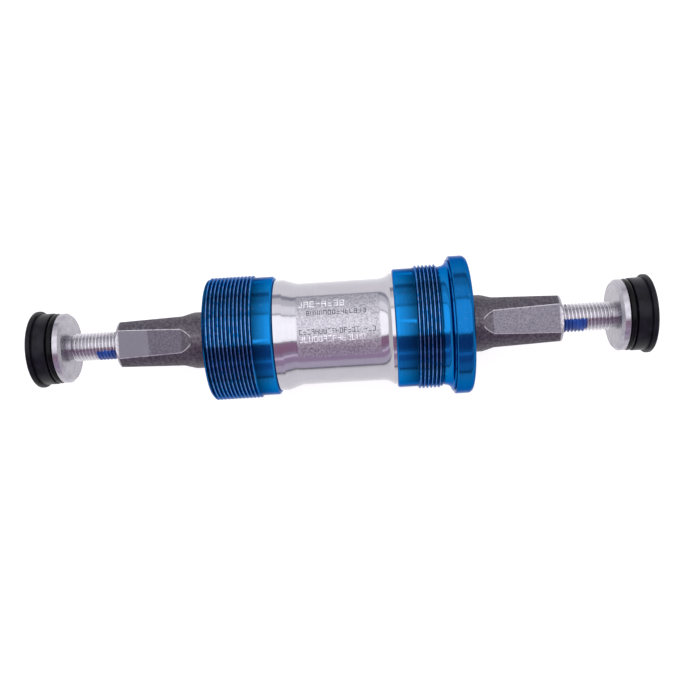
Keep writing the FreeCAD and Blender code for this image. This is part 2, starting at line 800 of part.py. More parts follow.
def build_balls(bench: Bench, side: str, middle: str) -> None:
    """Build the ring of balls of one bearing as separate solids in one node.

    Args:
        bench: the document.
        side: "right" or "left", used in the names.
        middle: formula for the middle of the bearing along X.
    """
    balls = []
    count = bench.count("ball_count")
    for index in range(count):
        ball = bench.doc.addObject("Part::Sphere", f"{side}_ball_{index + 1}")
        bench.bind(ball, "Radius", "ball_radius")
        turn = f"{index} * 360 / ball_count"
        bench.bind(ball, ".Placement.Base.x", middle)
        bench.bind(ball, ".Placement.Base.y", f"ball_track_radius * sin({turn})")
        bench.bind(ball, ".Placement.Base.z", f"ball_track_radius * cos({turn})")
        balls.append(ball)
    ring = bench.doc.addObject("Part::Compound", f"{side}_balls")
    ring.Label = f"{side}_balls"
    ring.Links = balls
    bench.nodes.append(ring)
    bench.doc.recompute()


def build_clip(bench: Bench, side: str, place: str) -> None:
    """Build one retaining clip with its two eared ends.

    Args:
        bench: the document.
        side: "right" or "left", used in the names.
        place: formula for the bearing face it sits against.
    """
    body = bench.body(f"{side}_clip")
    bench.turned(body, "hoop", box_of(
        "0", "clip_thickness", "clip_groove_radius", "clip_groove_radius + clip_band",
    ), "360 - clip_open_angle")
    ears = draw_ears(bench, body, "ear_section", "clip_ear_radius")
    pad = body.newObject("PartDesign::Pad", "ears")
    pad.Profile = ears
    bench.bind(pad, "Length", "clip_thickness")
    body.Tip = pad
    bench.doc.recompute()
    holes = draw_ears(bench, body, "ear_hole_section", "clip_ear_hole")
    bench.pocket(body, holes, "ear_holes", "clip_thickness")
    bench.place(body, place, flipped=side == "left")


def draw_ears(bench: Bench, body, name: str, radius: str):
    """Draw the pair of circles for the ears of a clip, or for the holes in them.

    Args:
        bench: the document.
        body: the clip.
        name: name of the sketch.
        radius: formula for the radius of both circles.
    """
    sketch = bench.sketch(body, name, "YZ_Plane")
    reach = "(clip_groove_radius + clip_band / 2 + clip_ear_radius)"
    for index, sign in enumerate(("-", "")):
        lean = f"{sign}(clip_open_angle / 2 + clip_ear_lean)"
        across = f"-{reach} * cos({lean})"
        up = f"{reach} * sin({lean})"
        centre = (bench.value(across), bench.value(up))
        size = bench.value(radius)
        sketch.addGeometry(
            Part.Circle(FreeCAD.Vector(*centre, 0), FreeCAD.Vector(0, 0, 1), size), False
        )
        bench.pin(sketch, "DistanceX", index, 3, across, centre[0])
        bench.pin(sketch, "DistanceY", index, 3, up, centre[1])
        row = sketch.addConstraint(Sketcher.Constraint("Radius", index, size))
        bench.bind(sketch, f"Constraints[{row}]", radius)
    bench.doc.recompute()
    return sketch


def build_lip_seal(bench: Bench, side: str, place: str) -> None:
    """Build the rubber seal that closes a cup around the spindle.

    Args:
        bench: the document.
        side: "right" or "left", used in the names.
        place: formula for its inner face along X.
    """
    body = bench.body(f"{side}_lip_seal")
    lip = "spindle_radius + lip_seal_gap"
    bench.turned(body, "rubber", [
        Corner("0", "web_radius"),
        Corner("lip_seal_case", "web_radius"),
        Corner("lip_seal_case", "web_radius - lip_seal_wall"),
        Corner("lip_seal_reach", f"{lip} + lip_seal_tip"),
        Corner("lip_seal_reach", lip),
        Corner("lip_seal_reach - lip_seal_tip", lip),
        Corner("lip_seal_case - lip_seal_wall", f"{lip} + lip_seal_wall"),
        Corner("0", "web_radius - lip_seal_wall"),
    ])
    bench.place(body, place, flipped=side == "left")


def bolt_thread(bench: Bench, body) -> None:
    """Cut the crank bolt thread into a body built about the bolt's own origin."""
    bench.thread(
        body, "bolt_thread", "bolt_radius", "(-bolt_length - bolt_pitch)",
        "bolt_length + bolt_pitch - bolt_neck_length / 2",
        {"pitch": "bolt_pitch", "depth": "bolt_thread_depth"}, left_hand=False,
    )


def build_bolt(bench: Bench, side: str, place: str, clock: str) -> None:
    """Build one flanged crank bolt and the locking strip set into its thread.

    The bolt's own origin is the middle of the flange's inner face, with the head towards +X.

    Args:
        bench: the document.
        side: "right" or "left", used in the names.
        place: formula for the inner face of its flange along X.
        clock: formula for its turn about the X axis.
    """
    flipped = side == "left"
    body = bench.body(f"{side}_bolt")
    bench.turned(body, "blank", [
        Corner("-bolt_length", "0"),
        Corner("-bolt_length", "bolt_radius - bolt_tip_chamfer"),
        Corner("-bolt_length + bolt_tip_chamfer", "bolt_radius"),
        Corner("-bolt_neck_length", "bolt_radius"),
        Corner("-bolt_neck_length", "bolt_root_radius"),
        Corner("0", "bolt_root_radius"),
        Corner("0", "bolt_flange_radius - bolt_flange_chamfer"),
        Corner("bolt_flange_chamfer", "bolt_flange_radius"),
        Corner("bolt_flange_thickness", "bolt_flange_radius"),
        Corner("bolt_flange_thickness", "bolt_head_radius"),
        Corner("bolt_head_end - bolt_head_chamfer", "bolt_head_radius"),
        Corner("bolt_head_end", "bolt_head_radius - bolt_head_chamfer"),
        Corner("bolt_head_end", "0"),
    ])
    bench.turned_cut(body, "strip_slot", box_of(
        "-strip_end", "-strip_start", "strip_core_radius", "bolt_radius + cutter_lift",
    ), "strip_angle")
    bolt_thread(bench, body)
    socket = bench.sketch(body, "hex_section", "YZ_Plane", "bolt_head_end")
    bench.outline(socket, [
        Corner(f"hex_across_flats / sqrt(3) * cos({turn})", f"hex_across_flats / sqrt(3) * sin({turn})")
        for turn in ("30", "90", "150", "210", "270", "330")
    ])
    bench.pocket(body, socket, "hex_socket", "hex_depth")
    bench.place(body, place, flipped, clock)
    strip = bench.body(f"{side}_locking_strip")
    bench.turned(strip, "nylon", box_of(
        "-strip_end", "-strip_start", "strip_core_radius", "bolt_radius",
    ), "strip_angle")
    bolt_thread(bench, strip)
    bench.place(strip, place, flipped, clock)


def build_dust_ring(bench: Bench, side: str, place: str) -> None:
    """Build the plastic dust ring around a bolt head and the O-ring on its neck.

    Args:
        bench: the document.
        side: "right" or "left", used in the names.
        place: formula for the inner face of the bolt flange along X.
    """
    flipped = side == "left"
    body = bench.body(f"{side}_dust_ring")
    bench.turned(body, "ring", [
        Corner("ring_start", "ring_bore_radius"),
        Corner("ring_start", "ring_neck_radius"),
        Corner("ring_body_start", "ring_neck_radius"),
        Corner("ring_body_start", "ring_radius - ring_edge"),
        Corner("ring_body_start + ring_edge", "ring_radius"),
        Corner("ring_body_end - ring_groove", "ring_radius"),
        Corner("ring_body_end - ring_groove", "ring_radius - ring_groove"),
        Corner("ring_body_end", "ring_radius - ring_groove"),
        Corner("ring_body_end", "ring_lip_radius"),
        Corner("ring_end - ring_edge", "ring_lip_radius", "ring_edge", -1),
        Corner("ring_end", "ring_lip_radius - ring_edge"),
        Corner("ring_end", "ring_bore_radius"),
    ])
    notch = bench.sketch(body, "notch_section", "YZ_Plane", "ring_end")
    bench.outline(notch, box_of(
        "-notch_width / 2", "notch_width / 2",
        "ring_bore_radius - notch_rim", "ring_lip_radius - notch_rim",
    ))
    notch_cut = bench.pocket(body, notch, "notch", "notch_depth")
    bench.around(body, notch_cut, "notches", "notch_count")
    bench.place(body, place, flipped)
    hoop = bench.doc.addObject("Part::Torus", f"{side}_o_ring")
    hoop.Label = f"{side}_o_ring"
    bench.bind(hoop, "Radius1", "o_ring_radius")
    bench.bind(hoop, "Radius2", "o_ring_section / 2")
    hoop.Placement = FreeCAD.Placement(
        FreeCAD.Vector(0, 0, 0), FreeCAD.Rotation(FreeCAD.Vector(0, 1, 0), 90)
    )
    sign = "-" if flipped else "+"
    bench.bind(hoop, ".Placement.Base.x", f"{place} {sign} (ring_start + o_ring_section / 2)")
    bench.nodes.append(hoop)
    bench.doc.recompute()


def write_nodes(bench: Bench, folder: str) -> None:
    """Check every object and write each node as its own STEP file.

    Args:
        bench: the document.
        folder: folder for the STEP files.
    """
    for thing in bench.doc.Objects:
        if "Invalid" in thing.State or "Error" in thing.State:
            raise RuntimeError(f"{thing.Label}: {thing.State}")
    for node in bench.nodes:
        if node.Shape.isNull() or not node.Shape.isValid():
            raise RuntimeError(f"{node.Label}: its shape is missing or not valid")
    os.makedirs(folder, exist_ok=True)
    for node in bench.nodes:
        node.Shape.exportStep(os.path.join(folder, f"{node.Label}.step"))
        print(f"{node.Label}: {len(node.Shape.Solids)} solid(s), {node.Shape.Volume:.1f} mm3")


def main() -> None:
    """Build every node in place and write them out."""
    bench = Bench("bottom_bracket")
    build_spindle(bench)
    build_right_cup(bench)
    build_left_cup(bench)
    build_sleeve(bench)
    build_bearing(bench, "right", "(right_bearing_inner + bearing_half)")
    build_bearing(bench, "left", "-(left_bearing_inner + bearing_half)")
    build_clip(bench, "right", "right_bearing_outer")
    build_clip(bench, "left", "-left_bearing_outer")
    build_lip_seal(bench, "right", "right_spigot_end + lip_seal_offset")
    build_lip_seal(bench, "left", "-left_lip_seal_place")
    build_bolt(bench, "right", "spindle_right + right_bolt_standoff", "right_bolt_clock")
    build_bolt(bench, "left", "-(spindle_left + left_bolt_standoff)", "left_bolt_clock")
    build_dust_ring(bench, "right", "(spindle_right + right_bolt_standoff)")
    build_dust_ring(bench, "left", "-(spindle_left + left_bolt_standoff)")
    write_nodes(bench, "parts")


main()
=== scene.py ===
"""Looks of a cartridge bottom bracket: sleeve, threaded cups, square-taper spindle and crank bolts.

Sizes in the classes are millimetres and degrees. The spindle lies along +X, the flanged cup's side is +X
and +Z is up. Angles around the spindle run from +Y towards +Z unless a docstring says otherwise.
"""
import logging
import math
from dataclasses import dataclass, field
from enum import Enum
from functools import cache
from typing import Any, Optional, Sequence, Union

import bmesh
import bpy
import numpy as np
from mathutils import Matrix, Vector


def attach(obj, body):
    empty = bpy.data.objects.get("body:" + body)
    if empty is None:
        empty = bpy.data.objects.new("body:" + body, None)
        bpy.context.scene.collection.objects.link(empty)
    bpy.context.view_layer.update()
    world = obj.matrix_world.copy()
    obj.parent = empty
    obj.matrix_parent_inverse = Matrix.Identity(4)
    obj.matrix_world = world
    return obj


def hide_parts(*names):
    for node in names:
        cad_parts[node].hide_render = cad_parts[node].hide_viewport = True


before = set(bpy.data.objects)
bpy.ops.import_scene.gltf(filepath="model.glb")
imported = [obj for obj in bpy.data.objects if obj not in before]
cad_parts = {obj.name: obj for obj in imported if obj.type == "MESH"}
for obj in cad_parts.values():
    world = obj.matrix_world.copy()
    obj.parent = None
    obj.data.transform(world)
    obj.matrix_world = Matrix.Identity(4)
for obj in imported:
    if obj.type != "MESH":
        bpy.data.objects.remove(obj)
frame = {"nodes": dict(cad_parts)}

MM = 0.001
TURN = 2.0 * math.pi
ROUND = 99.0    # half across flats of a section that has none
CRISP = 38.0    # edges that turn by more degrees than this stay crisp
BLACK, WHITE = (0.0, 0.0, 0.0), (1.0, 1.0, 1.0)
Point = tuple[float, float]
Colour = tuple[float, float, float]
Socket = bpy.types.NodeSocket
Feed = Union[Socket, float, int, tuple]


class Hand(Enum):
    """Which way a thread winds."""

    RIGHT = 1
    LEFT = -1


class Side(Enum):
    """An end of the spindle, with the way it points along X."""

    RIGHT = 1
    LEFT = -1

    @property
    def word(self) -> str:
        """The side's name as the nodes spell it."""
        return self.name.lower()


class Slot(Enum):
    """The record's material slots."""

    BLUE_ANODISED = "blue_anodised"
    BARE_ALUMINIUM = "bare_aluminium"
    GROUND_STEEL = "ground_steel"
    PLATED_STEEL = "plated_steel"
    BLUE_NYLON = "blue_nylon"
    BLACK_PLASTIC = "black_plastic"
    BLACK_RUBBER = "black_rubber"


class Nodes:
    """Adds nodes to one tree and links them."""

    def __init__(self, tree: bpy.types.NodeTree) -> None:
        """Take the tree to work on."""
        self.tree = tree

    def feed(self, socket: Socket, value: Any) -> None:
        """Link an input, or give it its value.

        Args:
            socket: the input.
            value: a socket, a number or several; a colour may leave out its fourth number.
        """
        if isinstance(value, bpy.types.NodeSocket):
            self.tree.links.new(value, socket)
        else:
            socket.default_value = (*value, 1.0) if socket.type == "RGBA" and len(value) == 3 else value

    def node(self, kind: str, inputs: dict[Any, Any], **settings: Any) -> bpy.types.Node:
        """Add a node.

        Args:
            kind: the node's type name.
            inputs: values or sockets by input name or number.
            settings: properties of the node itself.

        Returns:
            The new node.
        """
        made = self.tree.nodes.new(kind)
        for key, value in settings.items():
            setattr(made, key, value)
        for key, value in inputs.items():
            self.feed(made.inputs[key], value)
        return made

    def sum_of(self, operation: str, first: Any, second: Any = 0.0, third: Any = 0.0) -> Socket:
        """The result of one arithmetic step on up to three numbers or sockets."""
        return self.node("ShaderNodeMath", {0: first, 1: second, 2: third}, operation=operation).outputs[0]

    def times(self, first: Any, second: Any, plus: Any = None) -> Socket:
        """Two numbers multiplied, with a third one added where it is given."""
        operation, third = ("MULTIPLY", 0.0) if plus is None else ("MULTIPLY_ADD", plus)
        return self.sum_of(operation, first, second, third)


class Wiring(Nodes):
    """Lays out the nodes of one material around its main shader."""

    def __init__(self, name: str) -> None:
        """Start an empty material.

        Args:
            name: the material's name.
        """
        self.material = bpy.data.materials.new(name)
        self.material.use_nodes = True
        super().__init__(self.material.node_tree)
        self.tree.nodes.clear()
        self.shader = self.tree.nodes.new("ShaderNodeBsdfPrincipled")
        self.node("ShaderNodeOutputMaterial", {0: self.shader.outputs[0]})
        self.place = self.node("ShaderNodeTexCoord", {}).outputs["Object"]
        self.along, self.across, self.up = self.node("ShaderNodeSeparateXYZ", {0: self.place}).outputs
        self.around = self.sum_of("ARCTAN2", self.times(self.across, -1.0), self.up)

    def grain(self, scale: float, detail: float = 3.0) -> Socket:
        """Cloudy noise from 0 to 1, by patches per metre and layers of finer noise."""
        return self.node("ShaderNodeTexNoise", {"Vector": self.place, "Scale": scale, "Detail": detail}).outputs["Fac"]

    def rings(self, scale: float, detail: float = 2.0) -> Socket:
        """Noise that changes only along the spindle, as lathe marks do, by marks per metre and finer layers."""
        return self.node("ShaderNodeTexNoise", {"W": self.along, "Scale": scale, "Detail": detail},
                         noise_dimensions="1D").outputs["Fac"]

    def step(self, value: Feed, low: float, high: float, out: Point = (0.0, 1.0)) -> Socket:
        """A number that eases between the two in out as the value rises from low to high."""
        inputs = {"Value": value, "From Min": low, "From Max": high, "To Min": out[0], "To Max": out[1]}
        return self.node("ShaderNodeMapRange", inputs, interpolation_type="SMOOTHSTEP").outputs["Result"]

    def band(self, value: Feed, low: float, high: float, soft: float) -> Socket:
        """A mask that is 1 between low and high and eases to 0 over soft on both sides of each."""
        falling = self.step(value, high - soft, high + soft, (1.0, 0.0))
        return self.times(self.step(value, low - soft, low + soft), falling)

    def mark(self, name: str) -> Socket:
        """A number stored on the piece's points."""
        return self.node("ShaderNodeAttribute", {}, attribute_name=name).outputs["Fac"]

    def blend(self, share: Feed, first: Feed, second: Feed, mode: str = "MIX") -> Socket:
        """Two colours mixed in one of the Mix node's modes, with share saying how much of the second shows."""
        return self.node("ShaderNodeMix", {0: share, 6: first, 7: second}, data_type="RGBA", blend_type=mode).outputs[2]

    def relief(self, *heights: tuple[Socket, float]) -> None:
        """Raise the surface by several patterns.

        Args:
            heights: each pattern and how far it stands up, in millimetres.
        """
        chain: dict[str, Socket] = {}
        for pattern, tall in heights:
            made = self.node("ShaderNodeBump", {"Height": pattern, "Strength": 1.0, "Distance": tall * MM, **chain})
            chain = {"Normal": made.outputs[0]}
        self.feed(self.shader.inputs["Normal"], chain["Normal"])

    def surface(self, **inputs: Feed) -> bpy.types.Material:
        """Set the shader's inputs and give back the material.

        Args:
            inputs: values by input name, with _ for a space.

        Returns:
            The finished material.
        """
        for key, value in inputs.items():
            self.feed(self.shader.inputs[key.replace("_", " ")], value)
        return self.material


@dataclass(frozen=True)
class Finish:
    """A surface finish; each kind paints its own material once.

    Its name is never a slot's, because the frame's own flat materials carry those.
    """

    name: str
    slot: Optional[Slot] = None

    def material(self) -> bpy.types.Material:
        """The finish's material, made the first time it is asked for."""
        return bpy.data.materials.get(self.name) or self.paint(Wiring(self.name))

    def paint(self, w: Wiring) -> bpy.types.Material:
        """Lay out the material's nodes."""
        raise NotImplementedError


@dataclass(frozen=True)
class AnodisedAluminium(Finish):
    """Dyed, turned aluminium: fine lathe rings, thread crests paled by wear and a painted highlight, painted shade in
    the thread roots, small chips and a flange tinted darker.
    """

    shade: Colour = (0.003, 0.108, 0.312)
    bright: Colour = (0.008, 0.163, 0.438)
    # Pale crest colour: partly wear on the crests, partly a painted highlight.
    crest: Colour = (0.17, 0.27, 0.48)
    chip: Colour = (0.62, 0.66, 0.74)
    glance: Colour = (0.42, 0.48, 0.70)
    # Multiplies the flange's colour outboard of these places, tinting it darker and slightly warmer.
    flange_tone: Colour = (0.80, 0.70, 0.74)
    flange_tone_from: Point = (33.6, 34.4)

    def paint(self, w: Wiring) -> bpy.types.Material:
        """Lay out the dyed metal."""
        fine, crest = w.rings(5200.0, 3.0), w.mark("crest")
        colour = w.blend(w.times(w.rings(900.0), 0.5, w.times(w.grain(160.0), 0.6)), self.shade, self.bright)
        # Thread crests paled where the wear grain falls: partly wear, partly a painted highlight.
        worn = w.times(w.step(crest, 0.84, 1.0), w.step(w.grain(900.0, 4.0), 0.30, 0.62))
        colour = w.blend(w.times(worn, 0.65), colour, self.crest)
        # Painted shade: the colour is multiplied darker towards the thread roots, down to 0.26 at the root.
        groove = w.blend(w.step(crest, 0.10, 0.85, (0.26, 0.88)), BLACK, WHITE)
        colour = w.blend(1.0, colour, w.blend(w.mark("cut"), WHITE, groove), "MULTIPLY")
        # The flange is tinted darker from 33.6 to 34.4 mm outward; nothing in the model causes it.
        flange = w.step(w.along, self.flange_tone_from[0] * MM, self.flange_tone_from[1] * MM)
        colour = w.blend(1.0, colour, w.blend(flange, WHITE, self.flange_tone), "MULTIPLY")
        chips = w.step(w.grain(4200.0, 1.0), 0.72, 0.80)
        colour = w.blend(w.times(chips, 0.30), colour, self.chip)
        rough = w.times(fine, 0.12, w.times(w.grain(420.0), 0.08, 0.05))
        w.relief((fine, 0.0018), (w.grain(3000.0, 2.0), 0.003))
        return w.surface(Base_Color=colour, Metallic=1.0, Roughness=rough, Specular_Tint=self.glance)


@dataclass(frozen=True)
class BareAluminium(Finish):
    """Bright turned aluminium with a frosted panel on the side that faces up."""

    light: Colour = (0.50, 0.49, 0.52)
    dull: Colour = (0.35, 0.34, 0.375)
    frost_dark: Colour = (0.235, 0.228, 0.262)
    frost_light: Colour = (0.435, 0.425, 0.455)
    panel_ends: Point = (-8.3, 14.2)
    panel_sides: Point = (-42.0, 27.0)

    def paint(self, w: Wiring) -> bpy.types.Material:
        """Lay out the turned metal and its frosted panel."""
        ends, sides = self.panel_ends, self.panel_sides
        panel = w.times(w.band(w.along, ends[0] * MM, ends[1] * MM, 0.3 * MM),
                        w.band(w.around, math.radians(sides[0]), math.radians(sides[1]), 0.03))
        speckle, rings = w.grain(2300.0), w.rings(4200.0, 3.0)
        colour = w.blend(w.times(rings, 0.5, w.times(w.grain(300.0, 4.0), 0.4)), self.dull, self.light)
        frost = w.blend(w.step(speckle, 0.35, 0.65), self.frost_dark, self.frost_light)
        colour = w.blend(w.times(panel, 0.9), colour, frost)
        rough = w.times(panel, w.times(speckle, 0.30, 0.12), w.times(rings, 0.10, 0.09))
        w.relief((rings, 0.0016), (w.times(speckle, panel), 0.02))
        return w.surface(Base_Color=colour, Metallic=1.0, Roughness=rough)


@dataclass(frozen=True)
class GroundSteel(Finish):
    """Dark oiled steel: grinding marks on the flats, mottled round parts, bright worn edges."""

    dark: Colour = (0.062, 0.054, 0.066)
    light: Colour = (0.115, 0.103, 0.122)
    ground: tuple[Colour, Colour] = ((0.105, 0.096, 0.120), (0.178, 0.165, 0.196))
    oiled: tuple[Colour, Colour] = ((0.062, 0.055, 0.074), (0.105, 0.094, 0.120))
    edge: Colour = (0.48, 0.46, 0.50)
    fleck: Colour = (0.42, 0.40, 0.45)
    polished: Colour = (0.135, 0.125, 0.150)
    polish_from: float = -50.6

    def paint(self, w: Wiring) -> bpy.types.Material:
        """Lay out the dark steel."""
        mottle, pits, flat = w.grain(1300.0, 4.0), w.grain(1900.0), w.mark("flat")
        scored = w.step(w.grain(2300.0), 0.3, 0.7)
        ground = w.blend(w.step(w.along, -0.01, 0.01), w.blend(scored, *self.oiled), w.blend(scored, *self.ground))
        colour = w.blend(flat, w.blend(w.step(mottle, 0.32, 0.70), self.dark, self.light), ground)
        reach = w.times(w.grain(260.0), 2.0 * MM, w.along)
        polish = w.step(reach, (self.polish_from + 0.6) * MM, (self.polish_from + 1.4) * MM, (1.0, 0.0))
        colour = w.blend(w.times(w.times(polish, flat), 0.85), colour, self.polished)
        worn = w.times(w.step(w.mark("wear"), 0.25, 0.9), w.step(mottle, 0.25, 0.55, (0.45, 1.0)))
        colour = w.blend(worn, colour, self.edge)
        flecks = w.step(w.grain(3400.0, 1.0), 0.70, 0.76)
        colour = w.blend(w.times(flecks, 0.35), colour, self.fleck)
        w.relief((mottle, 0.010), (pits, 0.010), (w.rings(3000.0), 0.003))
        return w.surface(Base_Color=colour, Metallic=0.9, Roughness=w.times(pits, 0.25, w.times(flat, -0.10, 0.34)))


@dataclass(frozen=True)
class PlatedSteel(Finish):
    """Bright zinc plate, slightly cloudy, with rolled thread crests and painted shade in the thread roots."""

    light: Colour = (0.40, 0.385, 0.42)
    dull: Colour = (0.31, 0.295, 0.335)
    rolled: Colour = (0.60, 0.585, 0.62)
    # Colour of the painted shade in the thread roots.
    root: Colour = (0.16, 0.14, 0.17)

    def paint(self, w: Wiring) -> bpy.types.Material:
        """Lay out the plated metal."""
        cloud, fine, cut = w.grain(420.0, 4.0), w.grain(2400.0, 2.0), w.mark("cut")
        colour = w.blend(cut, w.blend(w.step(cloud, 0.3, 0.7), self.dull, self.light), self.rolled)
        # Painted shade: the thread roots are blended up to 40% towards the root colour.
        colour = w.blend(w.times(cut, w.step(w.mark("crest"), 0.1, 0.8, (0.40, 0.0))), colour, self.root)
        w.relief((cloud, 0.004), (fine, 0.004))
        return w.surface(Base_Color=colour, Metallic=1.0, Roughness=w.times(fine, 0.16, w.times(cloud, 0.14, 0.12)))


@dataclass(frozen=True)
class HardSteel(Finish):
    """Hardened steel of races, balls and clips, with grinding rings and an oil film."""

    light: Colour = (0.58, 0.58, 0.61)
    dull: Colour = (0.44, 0.44, 0.47)
    rough: float = 0.14

    def paint(self, w: Wiring) -> bpy.types.Material:
        """Lay out the hard steel."""
        rings, oil = w.rings(6000.0, 3.0), w.grain(350.0, 4.0)
        colour = w.blend(w.times(rings, 0.5, w.times(oil, 0.5)), self.dull, self.light)
        w.relief((rings, 0.0015), (oil, 0.004))
        return w.surface(Base_Color=colour, Metallic=1.0, Roughness=w.times(oil, 0.16, self.rough))


@dataclass(frozen=True)
class Moulded(Finish):
    """Moulded plastic, nylon or rubber: fine grain, cloudy sheen and a little dust."""

    base: Colour = (0.012, 0.012, 0.014)
    pale: Colour = (0.030, 0.030, 0.034)
    rough: float = 0.42
    grain_height: float = 0.012
    gloss: float = 0.5

    def paint(self, w: Wiring) -> bpy.types.Material:
        """Lay out the moulded surface."""
        grain, cloud = w.grain(2600.0), w.grain(380.0, 4.0)
        dust = w.step(w.grain(3800.0, 1.0), 0.70, 0.80)
        dusty = tuple(min(1.0, 3.0 * c + 0.02) for c in self.pale)
        colour = w.blend(w.times(dust, 0.5), w.blend(w.step(cloud, 0.3, 0.75), self.base, self.pale), dusty)
        rough = w.times(cloud, 0.20, w.times(grain, 0.10, self.rough - 0.12))
        w.relief((grain, self.grain_height), (cloud, self.grain_height * 2.0))
        return w.surface(Base_Color=colour, Roughness=rough, Specular_IOR_Level=self.gloss)


@dataclass(frozen=True)
class EtchedMark(Finish):
    """Shallow etched strokes, either burnt dark or left bright."""

    tone: Colour = (0.030, 0.028, 0.040)

    def paint(self, w: Wiring) -> bpy.types.Material:
        """Lay out the etched strokes."""
        cloud = w.grain(1500.0)
        pale = tuple(min(1.0, c * 1.5 + 0.03) for c in self.tone)
        colour = w.blend(w.step(cloud, 0.38, 0.66), self.tone, pale)
        w.relief((cloud, 0.01))
        return w.surface(Base_Color=colour, Metallic=0.8, Roughness=w.step(cloud, 0.2, 0.8, (0.35, 0.6)))


@dataclass(frozen=True)
class GlowingFloor(Finish):
    """A pale, softly lit sweep under the object."""

    glow: float = 0.74
    pale: Colour = (0.40, 0.40, 0.405)

    def paint(self, w: Wiring) -> bpy.types.Material:
        """Lay out the pale floor."""
        colour = w.blend(w.grain(6.0, 2.0), self.pale, tuple(c * 0.985 for c in self.pale))
        return w.surface(Base_Color=colour, Roughness=0.9, Emission_Color=WHITE, Emission_Strength=self.glow)


@dataclass(frozen=True)
class Lamp(Finish):
    """An evenly lit panel."""

    glow: Colour = WHITE

    def paint(self, w: Wiring) -> bpy.types.Material:
        """Lay out the lit panel."""
        return w.surface(Base_Color=BLACK, Roughness=1.0, Specular_IOR_Level=0.0, Emission_Color=self.glow,
                         Emission_Strength=1.0)


ANODISED = AnodisedAluminium("blue_anodised_aluminium", Slot.BLUE_ANODISED)
ALUMINIUM = BareAluminium("turned_aluminium", Slot.BARE_ALUMINIUM)
DARK_MARK = EtchedMark("burnt_etching", Slot.BARE_ALUMINIUM)
BRIGHT_MARK = EtchedMark("bright_etching", Slot.BARE_ALUMINIUM, (0.56, 0.55, 0.58))
FAINT_MARK = EtchedMark("faint_etching", Slot.BARE_ALUMINIUM, (0.34, 0.33, 0.37))
SPINDLE_STEEL = GroundSteel("ground_spindle_steel", Slot.GROUND_STEEL)
ZINC = PlatedSteel("bright_zinc_plate", Slot.PLATED_STEEL)
RUBBER = Moulded("soft_black_rubber", Slot.BLACK_RUBBER, (0.0015, 0.0015, 0.0025), (0.003, 0.003, 0.005),
                 0.24, 0.004, 0.10)
RING_PLASTIC = Moulded("black_ring_plastic", Slot.BLACK_PLASTIC, (0.002, 0.002, 0.004), (0.008, 0.008, 0.013),
                       0.34, 0.010, 0.12)
STRIP_NYLON = Moulded("blue_strip_nylon", Slot.BLUE_NYLON, (0.003, 0.030, 0.20), (0.010, 0.075, 0.36), 0.36, 0.02)
RACE_STEEL = HardSteel("race_steel")
CLIP_STEEL = HardSteel("black_clip_steel", None, (0.10, 0.10, 0.11), (0.05, 0.05, 0.055), 0.26)
CAGE_PLASTIC = Moulded("tan_cage_plastic", None, (0.42, 0.30, 0.12), (0.55, 0.42, 0.20), 0.40)


def softened(corners: Sequence[Point], ease: float, closed: bool = False, steps: int = 3) -> list[Point]:
    """Round the corners of a profile.

    Args:
        corners: the profile's corners as (along, out).
        ease: how far from a corner its rounding starts.
        closed: whether the last corner joins the first.
        steps: faces across one rounding.

    Returns:
        The rounded profile.
    """
    points = [np.array(c, float) for c in corners]
    count, out = len(points), []
    for i, here in enumerate(points):
        back, ahead = points[i - 1] - here, points[(i + 1) % count] - here
        long_back, long_ahead = np.linalg.norm(back), np.linalg.norm(ahead)
        plain = (not closed and i in (0, count - 1)) or long_back < 1e-6 or long_ahead < 1e-6
        if plain or float(np.dot(back, ahead) / (long_back * long_ahead)) < -0.97:
            out.append(tuple(here))
            continue
        reach = min(ease, 0.42 * long_back, 0.42 * long_ahead)
        first, last = here + back / long_back * reach, here + ahead / long_ahead * reach
        for t in (k / steps for k in range(steps + 1)):
            out.append(tuple((1 - t) ** 2 * first + 2 * t * (1 - t) * here + t * t * last))
    return out + [out[0]] if closed else out


def hollow_curve(low: Point, high: Point, steps: int = 10) -> list[Point]:
    """A hollow curve that leaves its low end level and climbs to its high end.

    Args:
        low: (along, out) where it starts level.
        high: (along, out) where it ends.
        steps: faces along it.

    Returns:
        Points from the low end to the high end.
    """
    run, rise = high[0] - low[0], high[1] - low[1]
    radius = (run * run + rise * rise) / (2.0 * rise)
    full = math.asin(abs(run) / radius)
    way = 1.0 if run > 0 else -1.0
    return [(low[0] + way * radius * math.sin(full * k / steps), low[1] + radius * (1 - math.cos(full * k / steps)))
            for k in range(steps + 1)]


def turned(profile: Sequence[Point], columns: int) -> np.ndarray:
    """Spin a profile of (along, out) points around the spindle axis.

    Args:
        profile: the points.
        columns: points around.

    Returns:
        Rings of points, rows by columns by 3.
    """
    angles = np.arange(columns) * TURN / columns
    along, out = np.array(profile, float).T
    return np.stack([np.repeat(along[:, None], columns, 1), out[:, None] * np.cos(angles),
                     out[:, None] * np.sin(angles)], -1)


def hung(name: str, mesh: bpy.types.Mesh) -> bpy.types.Object:
    """Put a mesh in the scene.

    Args:
        name: the object's name.
        mesh: its mesh.

    Returns:
        The object, at the origin.
    """
    made = bpy.data.objects.new(name, mesh)
    bpy.context.scene.collection.objects.link(made)
    return made


def as_seen(host: bpy.types.Object) -> bpy.types.Mesh:
    """A plain mesh of an object with its modifiers applied."""
    return bpy.data.meshes.new_from_object(host.evaluated_get(bpy.context.evaluated_depsgraph_get()))


def tidy_mesh(mesh: bpy.types.Mesh, sharp: float = CRISP) -> None:
    """Merge doubled points, drop empty faces, face outwards and shade smooth.

    Args:
        mesh: changed in place.
        sharp: edges that turn by more degrees than this stay crisp.
    """
    work = bmesh.new()
    work.from_mesh(mesh)
    bmesh.ops.remove_doubles(work, verts=work.verts[:], dist=2e-7)
    bmesh.ops.dissolve_degenerate(work, edges=work.edges[:], dist=1e-7)
    bmesh.ops.recalc_face_normals(work, faces=work.faces[:])
    work.to_mesh(mesh)
    work.free()
    mesh.shade_smooth()
    mesh.set_sharp_from_angle(angle=math.radians(sharp))


